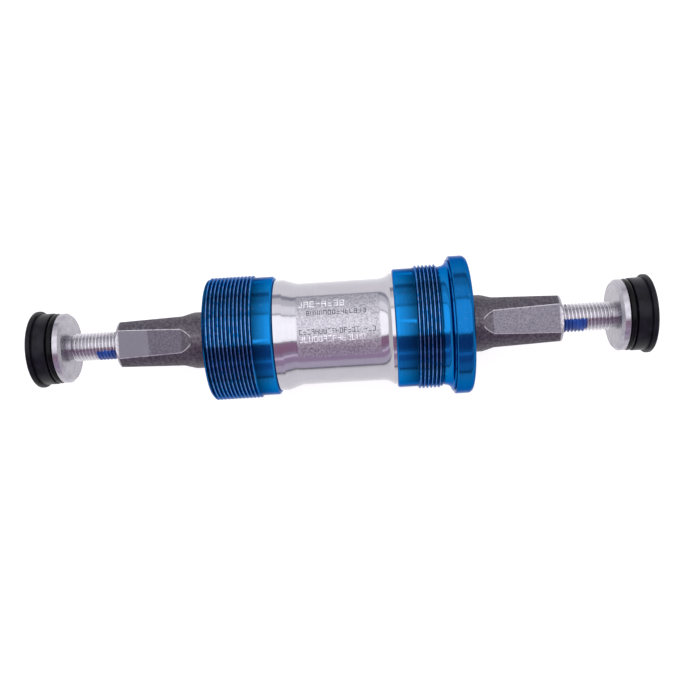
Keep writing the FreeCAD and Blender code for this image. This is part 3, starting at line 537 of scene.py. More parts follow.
class Skin:
    """Gathers the points, faces and stored numbers of one piece, in millimetres."""

    def __init__(self) -> None:
        """Start with nothing."""
        self.points: list[np.ndarray] = []
        self.faces: list[np.ndarray] = []
        self.marks: dict[str, list[np.ndarray]] = {}
        self.size = 0

    def loft(self, rings: np.ndarray, shift: int = 0, closed: bool = True, **marks: np.ndarray) -> "Skin":
        """Join rings of points with faces.

        Args:
            rings: rows by columns by 3.
            shift: rows by which the last column is ahead of the first, as on a screw.
            closed: whether the last column joins the first.
            marks: numbers by name for each point, rows by columns.

        Returns:
            This skin.
        """
        rows, columns = rings.shape[:2]
        index = np.arange(rows * columns).reshape(rows, columns) + self.size
        self.faces.append(np.stack([index[:-1, :-1], index[:-1, 1:], index[1:, 1:], index[1:, :-1]], -1).reshape(-1, 4))
        if closed:
            row = np.arange(rows - 1)
            row = row[(row + shift >= 0) & (row + shift + 1 < rows)]
            self.faces.append(np.stack([index[row, -1], index[row + shift, 0], index[row + shift + 1, 0],
                                        index[row + 1, -1]], -1))
        for name in set(self.marks) | set(marks):
            held = self.marks.setdefault(name, [np.zeros(self.size)])
            held.append(np.asarray(marks.get(name, np.zeros(rows * columns)), float).reshape(-1))
        self.points.append(rings.reshape(-1, 3))
        self.size += rows * columns
        return self

    def mesh(self, name: str, sharp: float = CRISP) -> bpy.types.Mesh:
        """Turn what was gathered into a clean mesh in metres.

        Args:
            name: the mesh's name.
            sharp: edges that turn by more degrees than this stay crisp.

        Returns:
            The mesh, closed and facing outwards.
        """
        made = bpy.data.meshes.new(name)
        made.from_pydata((np.concatenate(self.points) * MM).tolist(), [], np.concatenate(self.faces).tolist())
        for key, parts in self.marks.items():
            layer = made.attributes.new(key, "FLOAT", "POINT")
            layer.data.foreach_set("value", np.concatenate(parts).astype(np.float32))
        tidy_mesh(made, sharp)
        return made


@dataclass
class Piece:
    """Where a finished mesh belongs and what it is made of."""

    name: str
    body: str
    finish: Finish
    nodes: tuple[str, ...] = ()

    def dress(self, mesh: bpy.types.Mesh) -> None:
        """Make the mesh a piece of the object, riding on its body.

        Args:
            mesh: the finished mesh, in place.
        """
        piece = hung(self.name, mesh)
        piece.modifiers.new("even_shading", "WEIGHTED_NORMAL").keep_sharp = True
        plain = as_seen(piece)
        piece.modifiers.clear()
        piece.data = plain
        bpy.data.meshes.remove(mesh)
        plain.name = self.name
        plain.materials.clear()
        plain.materials.append(self.finish.material())
        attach(piece, self.body)
        if self.nodes:
            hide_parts(*self.nodes)
        logging.info("%s: %d faces on %s", self.name, len(plain.polygons), self.body)


CUP_FORM: tuple[Point, ...] = ((-0.5, -0.02), (-0.42, 0.0), (-0.14, 0.90), (-0.10, 0.98), (-0.05, 1.0),
                               (0.05, 1.0), (0.10, 0.98), (0.14, 0.90), (0.42, 0.0))
BOLT_FORM: tuple[Point, ...] = ((-0.5, -0.02), (-0.42, 0.04), (-0.30, 0.28), (-0.17, 0.74), (-0.08, 0.96),
                                (0.0, 1.0), (0.08, 0.96), (0.17, 0.74), (0.30, 0.28), (0.42, 0.04))


@dataclass(frozen=True)
class Thread:
    """A screw thread on a round wall, from a lower to a higher place along X.

    Each end gives the wall's radius there and how steeply it climbs to the thread.
    """

    low: float
    high: float
    radius: float
    depth: float
    pitch: float
    hand: Hand
    low_end: Point
    high_end: Point
    form: tuple[Point, ...] = CUP_FORM

    def cut(self, skin: Skin, columns: int) -> None:
        """Add the thread to a skin.

        Args:
            skin: where it goes.
            columns: points around.
        """
        angles = np.arange(columns) * TURN / columns
        turns = np.arange(-2, math.ceil((self.high - self.low) / self.pitch) + 3)
        where = np.concatenate([[turn + share for share, _ in self.form] for turn in turns])
        height = np.tile([height for _, height in self.form], len(turns))[:, None]
        along = self.low + self.pitch * (where[:, None] + self.hand.value * angles[None, :] / TURN)
        along = np.clip(along, self.low, self.high)
        first = self.low_end[0] + (along - self.low) * self.low_end[1]
        last = self.high_end[0] + (self.high - along) * self.high_end[1]
        out = np.minimum(self.radius - self.depth * (1.0 - height), np.minimum(first, last))
        crest = np.clip((out - self.radius) / self.depth + 1.0, 0.0, 1.0)
        skin.loft(np.stack([along, out * np.cos(angles), out * np.sin(angles)], -1),
                  self.hand.value * len(self.form), crest=crest, cut=np.ones_like(crest))


class Grower(Nodes):
    """Builds one Geometry Nodes tree with named inputs."""

    def __init__(self, name: str, sizes: Sequence[str], counts: Sequence[str]) -> None:
        """Start a tree that also takes a material.

        Args:
            name: the tree's name.
            sizes: names of the inputs that are numbers.
            counts: names of the inputs that are whole numbers.
        """
        super().__init__(bpy.data.node_groups.new(name, "GeometryNodeTree"))
        for kind, labels in (("Float", sizes), ("Int", counts), ("Material", ("material",))):
            for label in labels:
                self.tree.interface.new_socket(name=label, in_out="INPUT", socket_type="NodeSocket" + kind)
        self.tree.interface.new_socket(name="geometry", in_out="OUTPUT", socket_type="NodeSocketGeometry")
        self.given = self.tree.nodes.new("NodeGroupInput").outputs

    def point(self, along: Any, across: Any, up: Any) -> Socket:
        """A vector from three numbers or sockets."""
        return self.node("ShaderNodeCombineXYZ", {0: along, 1: across, 2: up}).outputs[0]

    def position(self) -> Sequence[Socket]:
        """The three parts of each point's place."""
        return self.node("ShaderNodeSeparateXYZ", {0: self.node("GeometryNodeInputPosition", {}).outputs[0]}).outputs

    def finish(self, geometry: Socket) -> bpy.types.NodeTree:
        """Realize, dress and hand out the geometry.

        Args:
            geometry: what the tree made.

        Returns:
            The finished tree.
        """
        real = self.node("GeometryNodeRealizeInstances", {0: geometry}).outputs[0]
        dressed = self.node("GeometryNodeSetMaterial", {"Geometry": real, "Material": self.given["material"]})
        self.node("NodeGroupOutput", {0: dressed.outputs[0]})
        return self.tree


def grown(tree: bpy.types.NodeTree, name: str, values: dict[str, Any]) -> bpy.types.Mesh:
    """Run a tree once and keep its result as a plain mesh.

    Args:
        tree: the Geometry Nodes tree.
        name: the mesh's name.
        values: the tree's inputs by name.

    Returns:
        The mesh.
    """
    host = hung(name, bpy.data.meshes.new(name + "_seed"))
    modifier = host.modifiers.new("grow", "NODES")
    modifier.node_group = tree
    for item in tree.interface.items_tree:
        if item.in_out == "INPUT":
            modifier[item.identifier] = values[item.name]
    mesh = as_seen(host)
    bpy.data.objects.remove(host)
    return mesh


@dataclass(frozen=True)
class ToothRing:
    """Tapered teeth or pads standing in a ring around the axis."""

    count: int
    start: float
    length: float
    inner: float
    outer: float
    inner_width: float
    outer_width: float
    phase: float = 0.0
    bevel: float = 0.12

    @staticmethod
    @cache
    def tree() -> bpy.types.NodeTree:
        """The tree that stands tapered teeth around the spindle axis.

        Returns:
            The tree, with inputs in metres and radians.
        """
        g = Grower("teeth_around_axis", ("start", "length", "inner", "outer", "inner_width", "outer_width", "phase"),
                   ("count",))
        given = g.given
        block = g.node("GeometryNodeMeshCube", {"Size": g.point(given["length"], 1.0, 1.0)})
        apart = g.position()
        width, out = (g.node("ShaderNodeMapRange", {"Value": apart[2], "From Min": -0.5, "From Max": 0.5,
                                                    "To Min": given["inner" + end], "To Max": given["outer" + end]}
                             ).outputs[0] for end in ("_width", ""))
        middle = g.sum_of("ADD", given["start"], g.times(given["length"], 0.5))
        moved = g.point(g.sum_of("ADD", apart[0], middle), g.times(apart[1], width), out)
        tooth = g.node("GeometryNodeSetPosition", {"Geometry": block.outputs[0], "Position": moved})
        points = g.node("GeometryNodePoints", {"Count": given["count"]})
        index = g.node("GeometryNodeInputIndex", {}).outputs[0]
        angle = g.sum_of("ADD", g.sum_of("DIVIDE", g.times(index, TURN), given["count"]), given["phase"])
        turn = g.node("FunctionNodeAxisAngleToRotation", {"Axis": (1.0, 0.0, 0.0), "Angle": angle})
        ring = g.node("GeometryNodeInstanceOnPoints", {
            "Points": points.outputs[0], "Instance": tooth.outputs[0], "Rotation": turn.outputs[0]})
        return g.finish(ring.outputs[0])

    def mesh(self, name: str, finish: Finish) -> bpy.types.Mesh:
        """Grow the ring and ease its edges.

        Args:
            name: the mesh's name.
            finish: what it is dressed in.

        Returns:
            The mesh, in metres.
        """
        sizes = {size: getattr(self, size) * MM for size in
                 ("start", "length", "inner", "outer", "inner_width", "outer_width")}
        made = grown(self.tree(), name, {**sizes, "count": self.count, "phase": math.radians(self.phase),
                                         "material": finish.material()})
        host = hung(name, made)
        ease = host.modifiers.new("ease", "BEVEL")
        ease.width, ease.segments, ease.limit_method = self.bevel * MM, 2, "ANGLE"
        eased = as_seen(host)
        bpy.data.objects.remove(host)
        bpy.data.meshes.remove(made)
        tidy_mesh(eased)
        return eased


@dataclass(frozen=True)
class EtchedRow:
    """One row of unreadable etched strokes: its angle from the top towards -Y, height and span along X."""

    angle: float
    height: float
    first: float
    last: float
    count: int
    seed: int
    finish: Finish
    lift: float = 0.02

    @staticmethod
    @cache
    def tree() -> bpy.types.NodeTree:
        """The tree that lays one row of strokes around the sleeve.

        Returns:
            The tree, with inputs in metres and radians.
        """
        g = Grower("etched_strokes", ("first", "last", "height", "lift", "angle", "radius"), ("count", "seed"))
        given = g.given
        line = g.node("GeometryNodeMeshLine", {
            "Count": given["count"], "Start Location": g.point(given["first"], 0.0, 0.0),
            "Offset": g.point(given["last"], 0.0, 0.0)}, mode="END_POINTS")
        scale = g.point(given["height"], given["height"], given["lift"])
        joined = g.tree.nodes.new("GeometryNodeJoinGeometry")
        strokes = ((-0.26, 0.0, 0.13, 1.0, 0.62), (0.24, 0.0, 0.13, 0.92, 0.55), (0.0, 0.43, 0.56, 0.14, 0.60),
                   (0.0, 0.02, 0.50, 0.13, 0.50), (0.0, -0.43, 0.56, 0.14, 0.62))
        for number, (aside, above, wide, tall, share) in enumerate(strokes):
            bar = g.node("GeometryNodeMeshCube", {"Size": (wide, tall, 1.0), "Vertices Y": 3})
            moved = g.node("GeometryNodeTransform", {"Geometry": bar.outputs[0], "Translation": (aside, above, 0.0)})
            seed = g.sum_of("ADD", given["seed"], float(number * 17))
            chance = g.node("FunctionNodeRandomValue", {"Probability": share, "Seed": seed}, data_type="BOOLEAN")
            ticked = next(o for o in chance.outputs if o.enabled)
            row = g.node("GeometryNodeInstanceOnPoints", {
                "Points": line.outputs[0], "Selection": ticked, "Instance": moved.outputs[0], "Scale": scale})
            g.feed(joined.inputs[0], row.outputs[0])
        real = g.node("GeometryNodeRealizeInstances", {0: joined.outputs[0]})
        apart = g.position()
        angle = g.sum_of("SUBTRACT", given["angle"], g.sum_of("DIVIDE", apart[1], given["radius"]))
        out = g.sum_of("ADD", given["radius"], apart[2])
        across = g.times(g.times(out, g.sum_of("SINE", angle)), -1.0)
        wrapped = g.point(apart[0], across, g.times(out, g.sum_of("COSINE", angle)))
        laid = g.node("GeometryNodeSetPosition", {"Geometry": real.outputs[0], "Position": wrapped})
        return g.finish(laid.outputs[0])

    def mesh(self, radius: float) -> bpy.types.Mesh:
        """Grow the row on a round wall.

        Args:
            radius: the wall's radius.

        Returns:
            The mesh, in metres.
        """
        sizes = {size: getattr(self, size) * MM for size in ("first", "last", "height", "lift")}
        return grown(self.tree(), "row", {**sizes, "angle": math.radians(self.angle), "radius": radius * MM,
                                          "count": self.count, "seed": self.seed, "material": self.finish.material()})


@dataclass
class Sleeve:
    """The aluminium sleeve that holds both bearings, necked in the middle."""

    columns: int = 160
    band: float = 15.7
    waist: float = 14.4
    left_end: float = -25.0
    waist_from: float = -8.3
    waist_to: float = 14.0
    right_band_start: float = 17.3
    right_end: float = 30.7
    seat: float = 14.0
    bore: float = 12.8
    left_seat_end: float = -17.0
    right_seat_start: float = 22.4
    rows: tuple[EtchedRow, ...] = (
        EtchedRow(-32.5, 1.9, -7.2, 4.2, 8, 3, BRIGHT_MARK),
        EtchedRow(-21.5, 1.3, -5.1, 10.1, 14, 11, DARK_MARK),
        EtchedRow(-12.0, 0.9, -6.0, 7.8, 15, 19, FAINT_MARK),
        EtchedRow(-1.0, 1.35, -7.2, 12.5, 19, 23, DARK_MARK),
        EtchedRow(7.0, 1.6, -7.1, 9.5, 14, 31, BRIGHT_MARK),
    )

    def outside(self) -> list[Point]:
        """The outer profile from the left end to the right, with its groove, cone and hollow curve."""
        cone = softened([(-5.0, self.waist), (self.waist_from, self.waist), (-9.3, 14.66), (-12.3, self.band),
                         (-14.55, self.band)], 0.22)
        lip = self.band - 0.09
        return ([(self.left_end, self.band - 0.3), (self.left_end + 0.3, self.band), (-15.35, self.band),
                 (-15.2, lip), (-14.75, lip), (-14.6, self.band)] + cone[::-1] +
                hollow_curve((self.waist_to, self.waist), (self.right_band_start, self.band)) +
                [(self.right_end - 0.3, self.band), (self.right_end, self.band - 0.3)])

    def build(self) -> None:
        """Make the sleeve and its etched rows."""
        profile = self.outside() + softened([
            (self.right_end, self.seat), (self.right_seat_start, self.seat), (self.right_seat_start, self.bore),
            (self.left_seat_end, self.bore), (self.left_seat_end, self.seat), (self.left_end, self.seat)], 0.15)
        skin = Skin().loft(turned(profile + profile[:1], self.columns))
        Piece("sleeve_turned", "shell_side", ALUMINIUM, ("sleeve",)).dress(skin.mesh("sleeve"))
        for number, row in enumerate(self.rows, 1):
            Piece(f"sleeve_etching_{number}", "shell_side", row.finish).dress(row.mesh(self.waist))


@dataclass
class Cup:
    """A threaded blue cup with a splined tool recess; its places are measured outwards."""

    side: Side
    body: str
    end: float
    floor: float
    spigot: float        # radius of the bore that takes the sleeve
    spigot_end: float    # where that bore stops
    columns: int = 144
    mouth: float = 13.9
    root: float = 13.4
    tip: float = 12.6
    web: float = 11.9
    teeth: int = 20
    tooth_widths: Point = (1.75, 2.5)                          # at the tip and at the wall
    screw: tuple[float, float, float] = (17.4, 0.56, 1.058)    # crest radius, depth and pitch

    def outer_profiles(self) -> tuple[list[Point], Thread, list[Point]]:
        """The profile inboard of the thread, the thread, and the profile outboard of it."""
        raise NotImplementedError

    def build(self) -> None:
        """Make the cup and the teeth of its tool recess."""
        skin, way = Skin(), self.side.value
        inboard, thread, outboard = self.outer_profiles()
        for profile in (inboard, outboard):
            skin.loft(turned([(x * way, r) for x, r in profile], self.columns))
        thread.cut(skin, self.columns)
        name = f"{self.side.word}_cup"
        Piece(name + "_shell", self.body, ANODISED, (name,)).dress(skin.mesh(name))
        start = self.floor - 0.1 if way > 0 else -(self.end - 0.45)
        ring = ToothRing(self.teeth, start, self.end - 0.35 - self.floor, self.tip, self.root + 0.12,
                         *self.tooth_widths)
        Piece(name + "_splines", self.body, ANODISED).dress(ring.mesh(name, ANODISED))

    def inside(self) -> list[Point]:
        """The profile from the recess mouth in to the spigot bore."""
        return softened([(self.end, self.mouth), (self.end - 0.5, self.root), (self.floor, self.root),
                         (self.floor, self.web), (self.spigot_end, self.web), (self.spigot_end, self.spigot)], 0.14)


@dataclass
class FlangedCup(Cup):
    """The drive side's cup, which seats on its flange."""

    flange: float = 19.4
    band: float = 16.725
    edge: float = 1.5    # radius of the flange's rounded edge

    def outer_profiles(self) -> tuple[list[Point], Thread, list[Point]]:
        """The profile inboard of the thread, the thread, and the profile outboard of it."""
        nose, first, last, neck = 18.2, 23.75, 30.85, 16.65
        inboard = [(self.spigot_end, self.spigot)] + softened([
            (nose, self.spigot), (nose, 16.3), (nose + 0.35, self.band), (first, self.band)], 0.16)
        thread = Thread(first, last, *self.screw, Hand.LEFT, (self.band, 1.25), (neck, 1.25))
        rim = [(33.52, 18.5), (33.62, 18.52), (33.70, 18.45), (33.74, 18.05), (33.92, 18.05), (34.0, 18.2)]
        ease = self.edge
        round_off = [(self.end - ease + ease * math.sin(a), self.flange - ease + ease * math.cos(a))
                     for a in np.linspace(0.0, math.pi / 2, 9)]
        outboard = ([(last, neck), (31.3, neck)] + hollow_curve((31.55, 16.75), (33.40, 18.30), 8) + rim +
                    softened([(34.0, 18.9), (34.0, 19.15), (34.25, self.flange), (37.4, self.flange)], 0.1) +
                    round_off + self.inside())
        return inboard, thread, outboard


@dataclass
class LooseCup(Cup):
    """The other side's cup, which screws in until it clamps the sleeve."""

    collar: float = 16.8

    def outer_profiles(self) -> tuple[list[Point], Thread, list[Point]]:
        """The profile inboard of the thread, the thread, and the profile outboard of it."""
        nose, first = 14.9, 19.9
        inboard = [(self.spigot_end, self.spigot)] + softened([
            (15.3, self.spigot), (nose, 16.15), (nose, 16.4), (15.3, self.collar), (first, self.collar)], 0.12)
        thread = Thread(-self.end, -first, *self.screw, Hand.RIGHT, (self.collar, 1.0), (self.collar, 1.2))
        return inboard, thread, [(self.end, self.collar)] + self.inside()


@dataclass(frozen=True)
class SpindleEnd:
    """One side of the spindle, by places measured outwards.

    The bearing seat runs from inner to shoulder, the flare is full at flare, the flats' run-out goes from
    arch to flat, and the flats go on to the end.
    """

    side: Side
    inner: float
    shoulder: float
    flare: float
    arch: float
    flat: float
    end: float


@dataclass
class Spindle:
    """The square-taper spindle: four flats a side that run out in pointed arches."""

    flat_steps: tuple[float, ...] = (0.0, 0.3, 0.62, 0.88, 0.97, 1.0)
    arc_steps: tuple[float, ...] = (0.05, 0.16, 0.4, 0.7, 1.0)
    sides: tuple[SpindleEnd, ...] = (SpindleEnd(Side.LEFT, 17.0, 25.9, 38.2, 38.35, 41.4, 60.05),
                                     SpindleEnd(Side.RIGHT, 22.4, 31.3, 42.15, 42.3, 45.35, 64.45))
    half_flats: float = 6.325
    slope: float = math.tan(math.radians(2.0))
    bore: float = 4.05
    middle: float = 9.75         # radius between the bearings
    seat: float = 8.5            # radius under a bearing
    shaft: float = 8.0           # radius outboard of a bearing
    corner: float = 7.70         # radius of the corners where the full flats begin
    falls: Point = (0.3, 0.24)   # what the corners lose along the run-out and along the flats
    run_in: float = 0.4          # the full corners begin this far before the flats
    bearing_fan: float = 0.45    # half-angle of the columns where there are no flats yet
    end_fan: float = 0.56        # the same on the end face and in the bore

    def outline(self, radius: float, flat: float, spread: Optional[float]) -> tuple[np.ndarray, np.ndarray, np.ndarray]:
        """One cross-section: a circle with four flats.

        Args:
            radius: the circle.
            flat: half the distance across the flats; wider than the circle where there are none.
            spread: half-angle of the flat columns where there are no flats, or None to follow the flats.

        Returns:
            The points' (across, up), how worn each is, and whether it lies on a flat.
        """
        edge = math.acos(flat / radius) if flat < radius else 0.0
        half = max(edge, 0.02) if spread is None else spread
        inner = [math.atan(math.tan(half) * t) for t in self.flat_steps]
        outer = [half + (math.pi / 4 - half) * t for t in self.arc_steps]
        angles = [-a for a in outer[-2::-1]] + [-a for a in inner[:0:-1]] + inner + outer
        points, wear, level = [], [], []
        for quarter in range(4):
            for a in angles:
                near = abs(abs(a) - half)
                crisp = edge > 0.0 and near < 1e-6
                out = (min(radius, flat / math.cos(a)) if edge else radius) - (0.05 if crisp else 0.0)
                turn = a + quarter * math.pi / 2
                points.append((out * math.cos(turn), out * math.sin(turn)))
                wear.append(1.0 if crisp else (0.45 if edge and near < 0.035 else 0.0))
                level.append(1.0 if edge and abs(a) < half - 1e-6 else 0.0)
        return np.array(points), np.array(wear), np.array(level)

    def stations(self, s: SpindleEnd) -> list[tuple]:
        """Cross-sections of one side, from the bearing out to the bottom of the tapped hole.

        Args:
            s: the side's places.

        Returns:
            (outward place, radius, half across flats, spread, extra wear) for each.
        """
        def girth(place: float) -> float:
            """Radius of the round corners at a place along the flats."""
            early, late, run_in = *self.falls, self.run_in
            if place < s.flat - run_in:
                return self.shaft - early * min(1.0, max(0.0, (place - s.flare) / (s.flat - run_in - s.flare)))
            return self.corner - late * (place - s.flat + run_in) / (s.end - s.flat + run_in)

        fan = self.bearing_fan
        rows: list[tuple] = [(place, radius, ROUND, fan, extra) for place, radius, extra in (
            (s.inner, self.middle, 0.0), (s.inner, self.seat, 0.0), (s.shoulder - 0.25, self.seat, 0.0),
            (s.shoulder, 8.3, 0.2), (s.shoulder + 0.02, self.shaft, 0.0))]
        settle = s.shoulder + 1.0
        for share in (k / 8 for k in range(1, 9)):
            rows.append((settle + (s.flare - settle) * share, self.shaft, ROUND, fan + (0.03 - fan) * share, 0.0))
        for place in np.linspace(s.arch, s.flat, 13)[:-1]:
            share = (place - s.arch) / (s.flat - s.arch)
            half = girth(s.arch) + (self.half_flats + (s.end - s.flat) * self.slope - girth(s.arch)) * share
            radius = girth(place)
            rows.append((place, radius, *((half, None) if half < radius - 1e-4 else (ROUND, 0.03)), 0.0))
        for place in list(np.linspace(s.flat, s.end - 1.1, 9)) + [s.end - 1.0]:
            extra = 0.3 if place == s.flat else 0.0
            rows.append((place, girth(place), self.half_flats + (s.end - place) * self.slope, None, extra))
        rows += [(s.end - 0.98, girth(s.end) - 0.02, self.half_flats + 0.98 * self.slope, None, 0.5),
                 (s.end - 0.06, 6.54, self.half_flats, None, 0.9), (s.end, 6.44, self.half_flats - 0.08, None, 0.7)]
        hole = ((0.0, 5.6, 0.0), (0.0, self.bore + 0.5, 0.5), (0.05, self.bore + 0.44, 0.5), (0.5, self.bore, 0.0),
                (25.0, self.bore, 0.0), (27.4, 0.0, 0.0))
        return rows + [(s.end - deep, radius, ROUND, self.end_fan, extra) for deep, radius, extra in hole]

    def build(self) -> None:
        """Make the spindle as one closed skin from end to end."""
        rings, wear, level = [], [], []
        for s in self.sides:
            rows = self.stations(s)
            for place, radius, half, spread, extra in (rows[::-1] if s.side is Side.LEFT else rows):
                points, worn, flat = self.outline(radius, half, spread)
                rings.append(np.column_stack([np.full(len(points), place * s.side.value), points]))
                wear.append(np.maximum(worn, extra * (flat if half < ROUND and extra == 0.3 else 1.0)))
                level.append(flat * (1.0 if place >= s.flat - 0.01 else 0.25))
        skin = Skin().loft(np.array(rings), wear=np.array(wear), flat=np.array(level))
        Piece("spindle_forged", "spindle", SPINDLE_STEEL, ("spindle",)).dress(skin.mesh("spindle", 24.0))


@dataclass
class CrankBolt:
    """A flanged M8 bolt with its hexagon socket, locking strip, dust ring and O-ring."""

    side: Side
    seat: float
    strip_at: float
    fray_seed: int
    columns: int = 96
    shank: float = 24.0
    radius: float = 4.0
    depth: float = 0.6
    neck: float = 0.8
    flange: float = 10.0
    flange_thick: float = 2.4
    head: float = 7.4
    head_end: float = 8.5
    hexagon: float = 4.0
    hexagon_depth: float = 5.0
    ring_radius: float = 10.2
    ring_lip: float = 11.0
    ring_bore: float = 7.48
    ring_end: float = 9.65

    def at(self, outward: float) -> float:
        """Place along X of a distance outward from the flange's inner face."""
        return self.side.value * (self.seat + outward)

    def lathe(self, profile: Sequence[Point]) -> np.ndarray:
        """Rings of points from a profile of (distance outward, radius)."""
        return turned([(self.at(x), r) for x, r in profile], self.columns)

    def dress(self, part: str, suffix: str, body: str, finish: Finish, skin: Skin, sharp: float) -> None:
        """Make one piece that stands for a node of its own.

        Args:
            part: the node's name without its side.
            suffix: what the piece's name adds to the node's.
            body: the body's name without its side.
            finish: what it is made of.
            skin: its surface.
            sharp: edges that turn by more degrees than this stay crisp.
        """
        word = self.side.word
        node = f"{word}_{part}"
        Piece(f"{node}_{suffix}", f"{word}_{body}", finish, (node,)).dress(skin.mesh(node, sharp))

    def thread(self) -> Thread:
        """The shank's thread."""
        low, high = sorted((self.at(-self.shank), self.at(-self.neck)))
        ends = ((3.2, 1.0), (3.4, 1.2))[::self.side.value]
        return Thread(low, high, self.radius, self.depth, 1.0, Hand.RIGHT, *ends, BOLT_FORM)

    def socket_ring(self, outward: float, size: float, share: float) -> np.ndarray:
        """A ring between a circle and the hexagon.

        Args:
            outward: its place.
            size: half across the flats.
            share: 0 for a circle of that radius, 1 for the hexagon.

        Returns:
            One row of points.
        """
        angles = np.arange(self.columns) * TURN / self.columns
        fold = (angles + math.pi / 6) % (math.pi / 3) - math.pi / 6
        out = size * ((1.0 - share) + share / np.cos(fold))
        return np.stack([np.full(self.columns, self.at(outward)), out * np.cos(angles), out * np.sin(angles)], -1)

    def bolt(self) -> None:
        """Make the bolt: threaded shank, flange, head and socket."""
        thick, wide, head, end = self.flange_thick, self.flange, self.head, self.head_end
        rows = self.lathe(softened([
            (-self.neck, 3.4), (0.0, 3.4), (0.0, 8.55), (0.05, 8.62), (0.05, 8.80), (0.0, 8.87), (0.0, wide - 0.85),
            (0.85, wide), (thick - 0.15, wide), (thick, wide - 0.15), (thick, head), (end - 0.5, head),
            (end, head - 0.5), (end, 5.2)], 0.10))
        floor = end - self.hexagon_depth
        socket = [self.socket_ring(*ring) for ring in (
            (end, 4.95, 0.0), (end - 0.05, 4.85, 0.0), (end - 0.45, self.hexagon + 0.12, 1.0),
            (end - 0.60, self.hexagon, 1.0), (floor + 0.1, self.hexagon, 1.0), (floor, 3.85, 1.0), (floor, 2.9, 0.0),
            (floor - 0.9, 0.0, 0.0))]
        skin = Skin().loft(np.concatenate([rows, np.array(socket)]))
        skin.loft(self.lathe([(-self.shank, 3.2), (-self.shank, 1.2), (-self.shank + 0.25, 0.0)]))
        self.thread().cut(skin, self.columns)
        self.dress("bolt", "body", "bolt", ZINC, skin, 32.0)

    def strip(self) -> None:
        """Make the nylon strip as a thin coat that follows the thread and frays at its edges."""
        first, last, half = 7.9, 22.8, math.radians(55.0)
        frayed, border, taper = 0.16, 0.12, 0.35    # how far the edges wander, their width, the ends' length
        proud, sunk, full = 0.02, 0.12, 0.46        # above the thread, into it, and the fill below its crests
        thread, rows, columns = self.thread(), 240, 40
        rng = np.random.default_rng(self.fray_seed)
        fray = [np.convolve(f, np.ones(5) / 5, "same")[:, None] for f in rng.uniform(-1.0, 1.0, (2, rows))]
        where = np.linspace(first, last, rows)
        place = self.side.value * (self.seat - where)
        share = np.linspace(-1.0, 1.0, columns)[None, :]
        spread = np.where(share < 0, half + frayed * fray[0], half + frayed * fray[1])
        angles = math.radians(self.strip_at) + share * spread
        turn = ((place[:, None] - thread.low) / thread.pitch - angles / TURN + 0.5) % 1.0 - 0.5
        shares, heights = np.array(BOLT_FORM).T
        height = np.interp(turn, np.append(shares, 0.5), np.append(heights, heights[0]))
        wall = thread.radius - thread.depth * (1.0 - height)
        rough = rng.uniform(0.0, 1.0, wall.shape)
        rough = (rough + np.roll(rough, 1, 0) + np.roll(rough, 1, 1) + np.roll(rough, -1, 0)) / 4.0
        edge = np.clip(np.minimum(1.0 - np.abs(share), border) / border, 0.0, 1.0)
        coat = edge * np.clip(np.minimum(where - first, last - where) / taper, 0.0, 1.0)[:, None]
        fill = thread.radius - full + 0.10 * rough
        outer = np.maximum(wall + proud + 0.05 * rough, fill) * coat + (wall - 0.04) * (1.0 - coat)
        outer = np.minimum(outer, thread.radius + proud)
        along = np.repeat(place[:, None], columns, 1)
        top, under = (np.stack([along, radius * np.cos(angles), radius * np.sin(angles)], -1)
                      for radius in (outer, np.minimum(wall, outer) - sunk))
        skin = Skin().loft(np.concatenate([top, under[:, ::-1]], 1))
        for row in (0, -1):
            skin.loft(np.stack([top[row], under[row]]), closed=False)
        self.dress("locking_strip", "coat", "bolt", STRIP_NYLON, skin, 50.0)

    def dust_ring(self) -> None:
        """Make the black dust ring with its lip and its ring of pads."""
        body, lip, bore, end = self.ring_radius, self.ring_lip, self.ring_bore, self.ring_end
        profile = softened([(2.45, bore), (2.45, 8.05), (4.40, 8.05), (4.40, body - 0.25), (4.60, body),
                            (7.88, body), (7.95, body - 0.2), (8.13, body - 0.2), (8.19, lip - 0.15),
                            (8.40, lip), (9.25, lip), (end, lip - 0.4), (end, 9.72), (8.55, 9.70), (8.55, bore)],
                           0.12, closed=True)
        self.dress("dust_ring", "body", "ring", RING_PLASTIC, Skin().loft(self.lathe(profile)), 40.0)
        start = min(self.at(8.47), self.at(end - 0.02))
        pads = ToothRing(12, start, end - 8.49, bore + 0.02, 9.74, 1.72, 2.90, phase=15.0, bevel=0.1)
        piece = Piece(f"{self.side.word}_dust_ring_pads", f"{self.side.word}_ring", RING_PLASTIC)
        piece.dress(pads.mesh(piece.name, RING_PLASTIC))

    def o_ring(self) -> None:
        """Make the O-ring with the fine moulding line around its outside."""
        centre, section, mid, steps = 3.425, 0.975, 9.075, 32
        profile = []
        for k in range(steps):
            a, reach = k * TURN / steps, section + {7: 0.006, 8: 0.028, 9: 0.006}.get(k, 0.0)
            profile.append((centre + reach * math.cos(a), mid + reach * math.sin(a)))
        self.dress("o_ring", "moulded", "ring", RUBBER, Skin().loft(self.lathe(profile + profile[:1])), 60.0)

    def build(self) -> None:
        """Make every piece of the bolt."""
        for make in (self.bolt, self.strip, self.dust_ring, self.o_ring):
            make()


@dataclass
class InnerWorks:
    """The bearings, clips and lip seals, whose shapes come from the frame as they are."""

    finishes: dict[str, Finish] = field(default_factory=lambda: {
        "inner_race": RACE_STEEL, "outer_race": RACE_STEEL, "balls": RACE_STEEL, "cage": CAGE_PLASTIC,
        "inboard_seal": RUBBER, "outboard_seal": RUBBER, "lip_seal": RUBBER, "clip": CLIP_STEEL})

    def dress(self, nodes: dict[str, bpy.types.Object]) -> None:
        """Give each kept node its material.

        Args:
            nodes: the frame's objects by name.
        """
        for side in Side:
            for word, finish in self.finishes.items():
                node = nodes[f"{side.word}_{word}"]
                node.data.materials.clear()
                node.data.materials.append(finish.material())
                logging.info("%s: %s", node.name, finish.name)


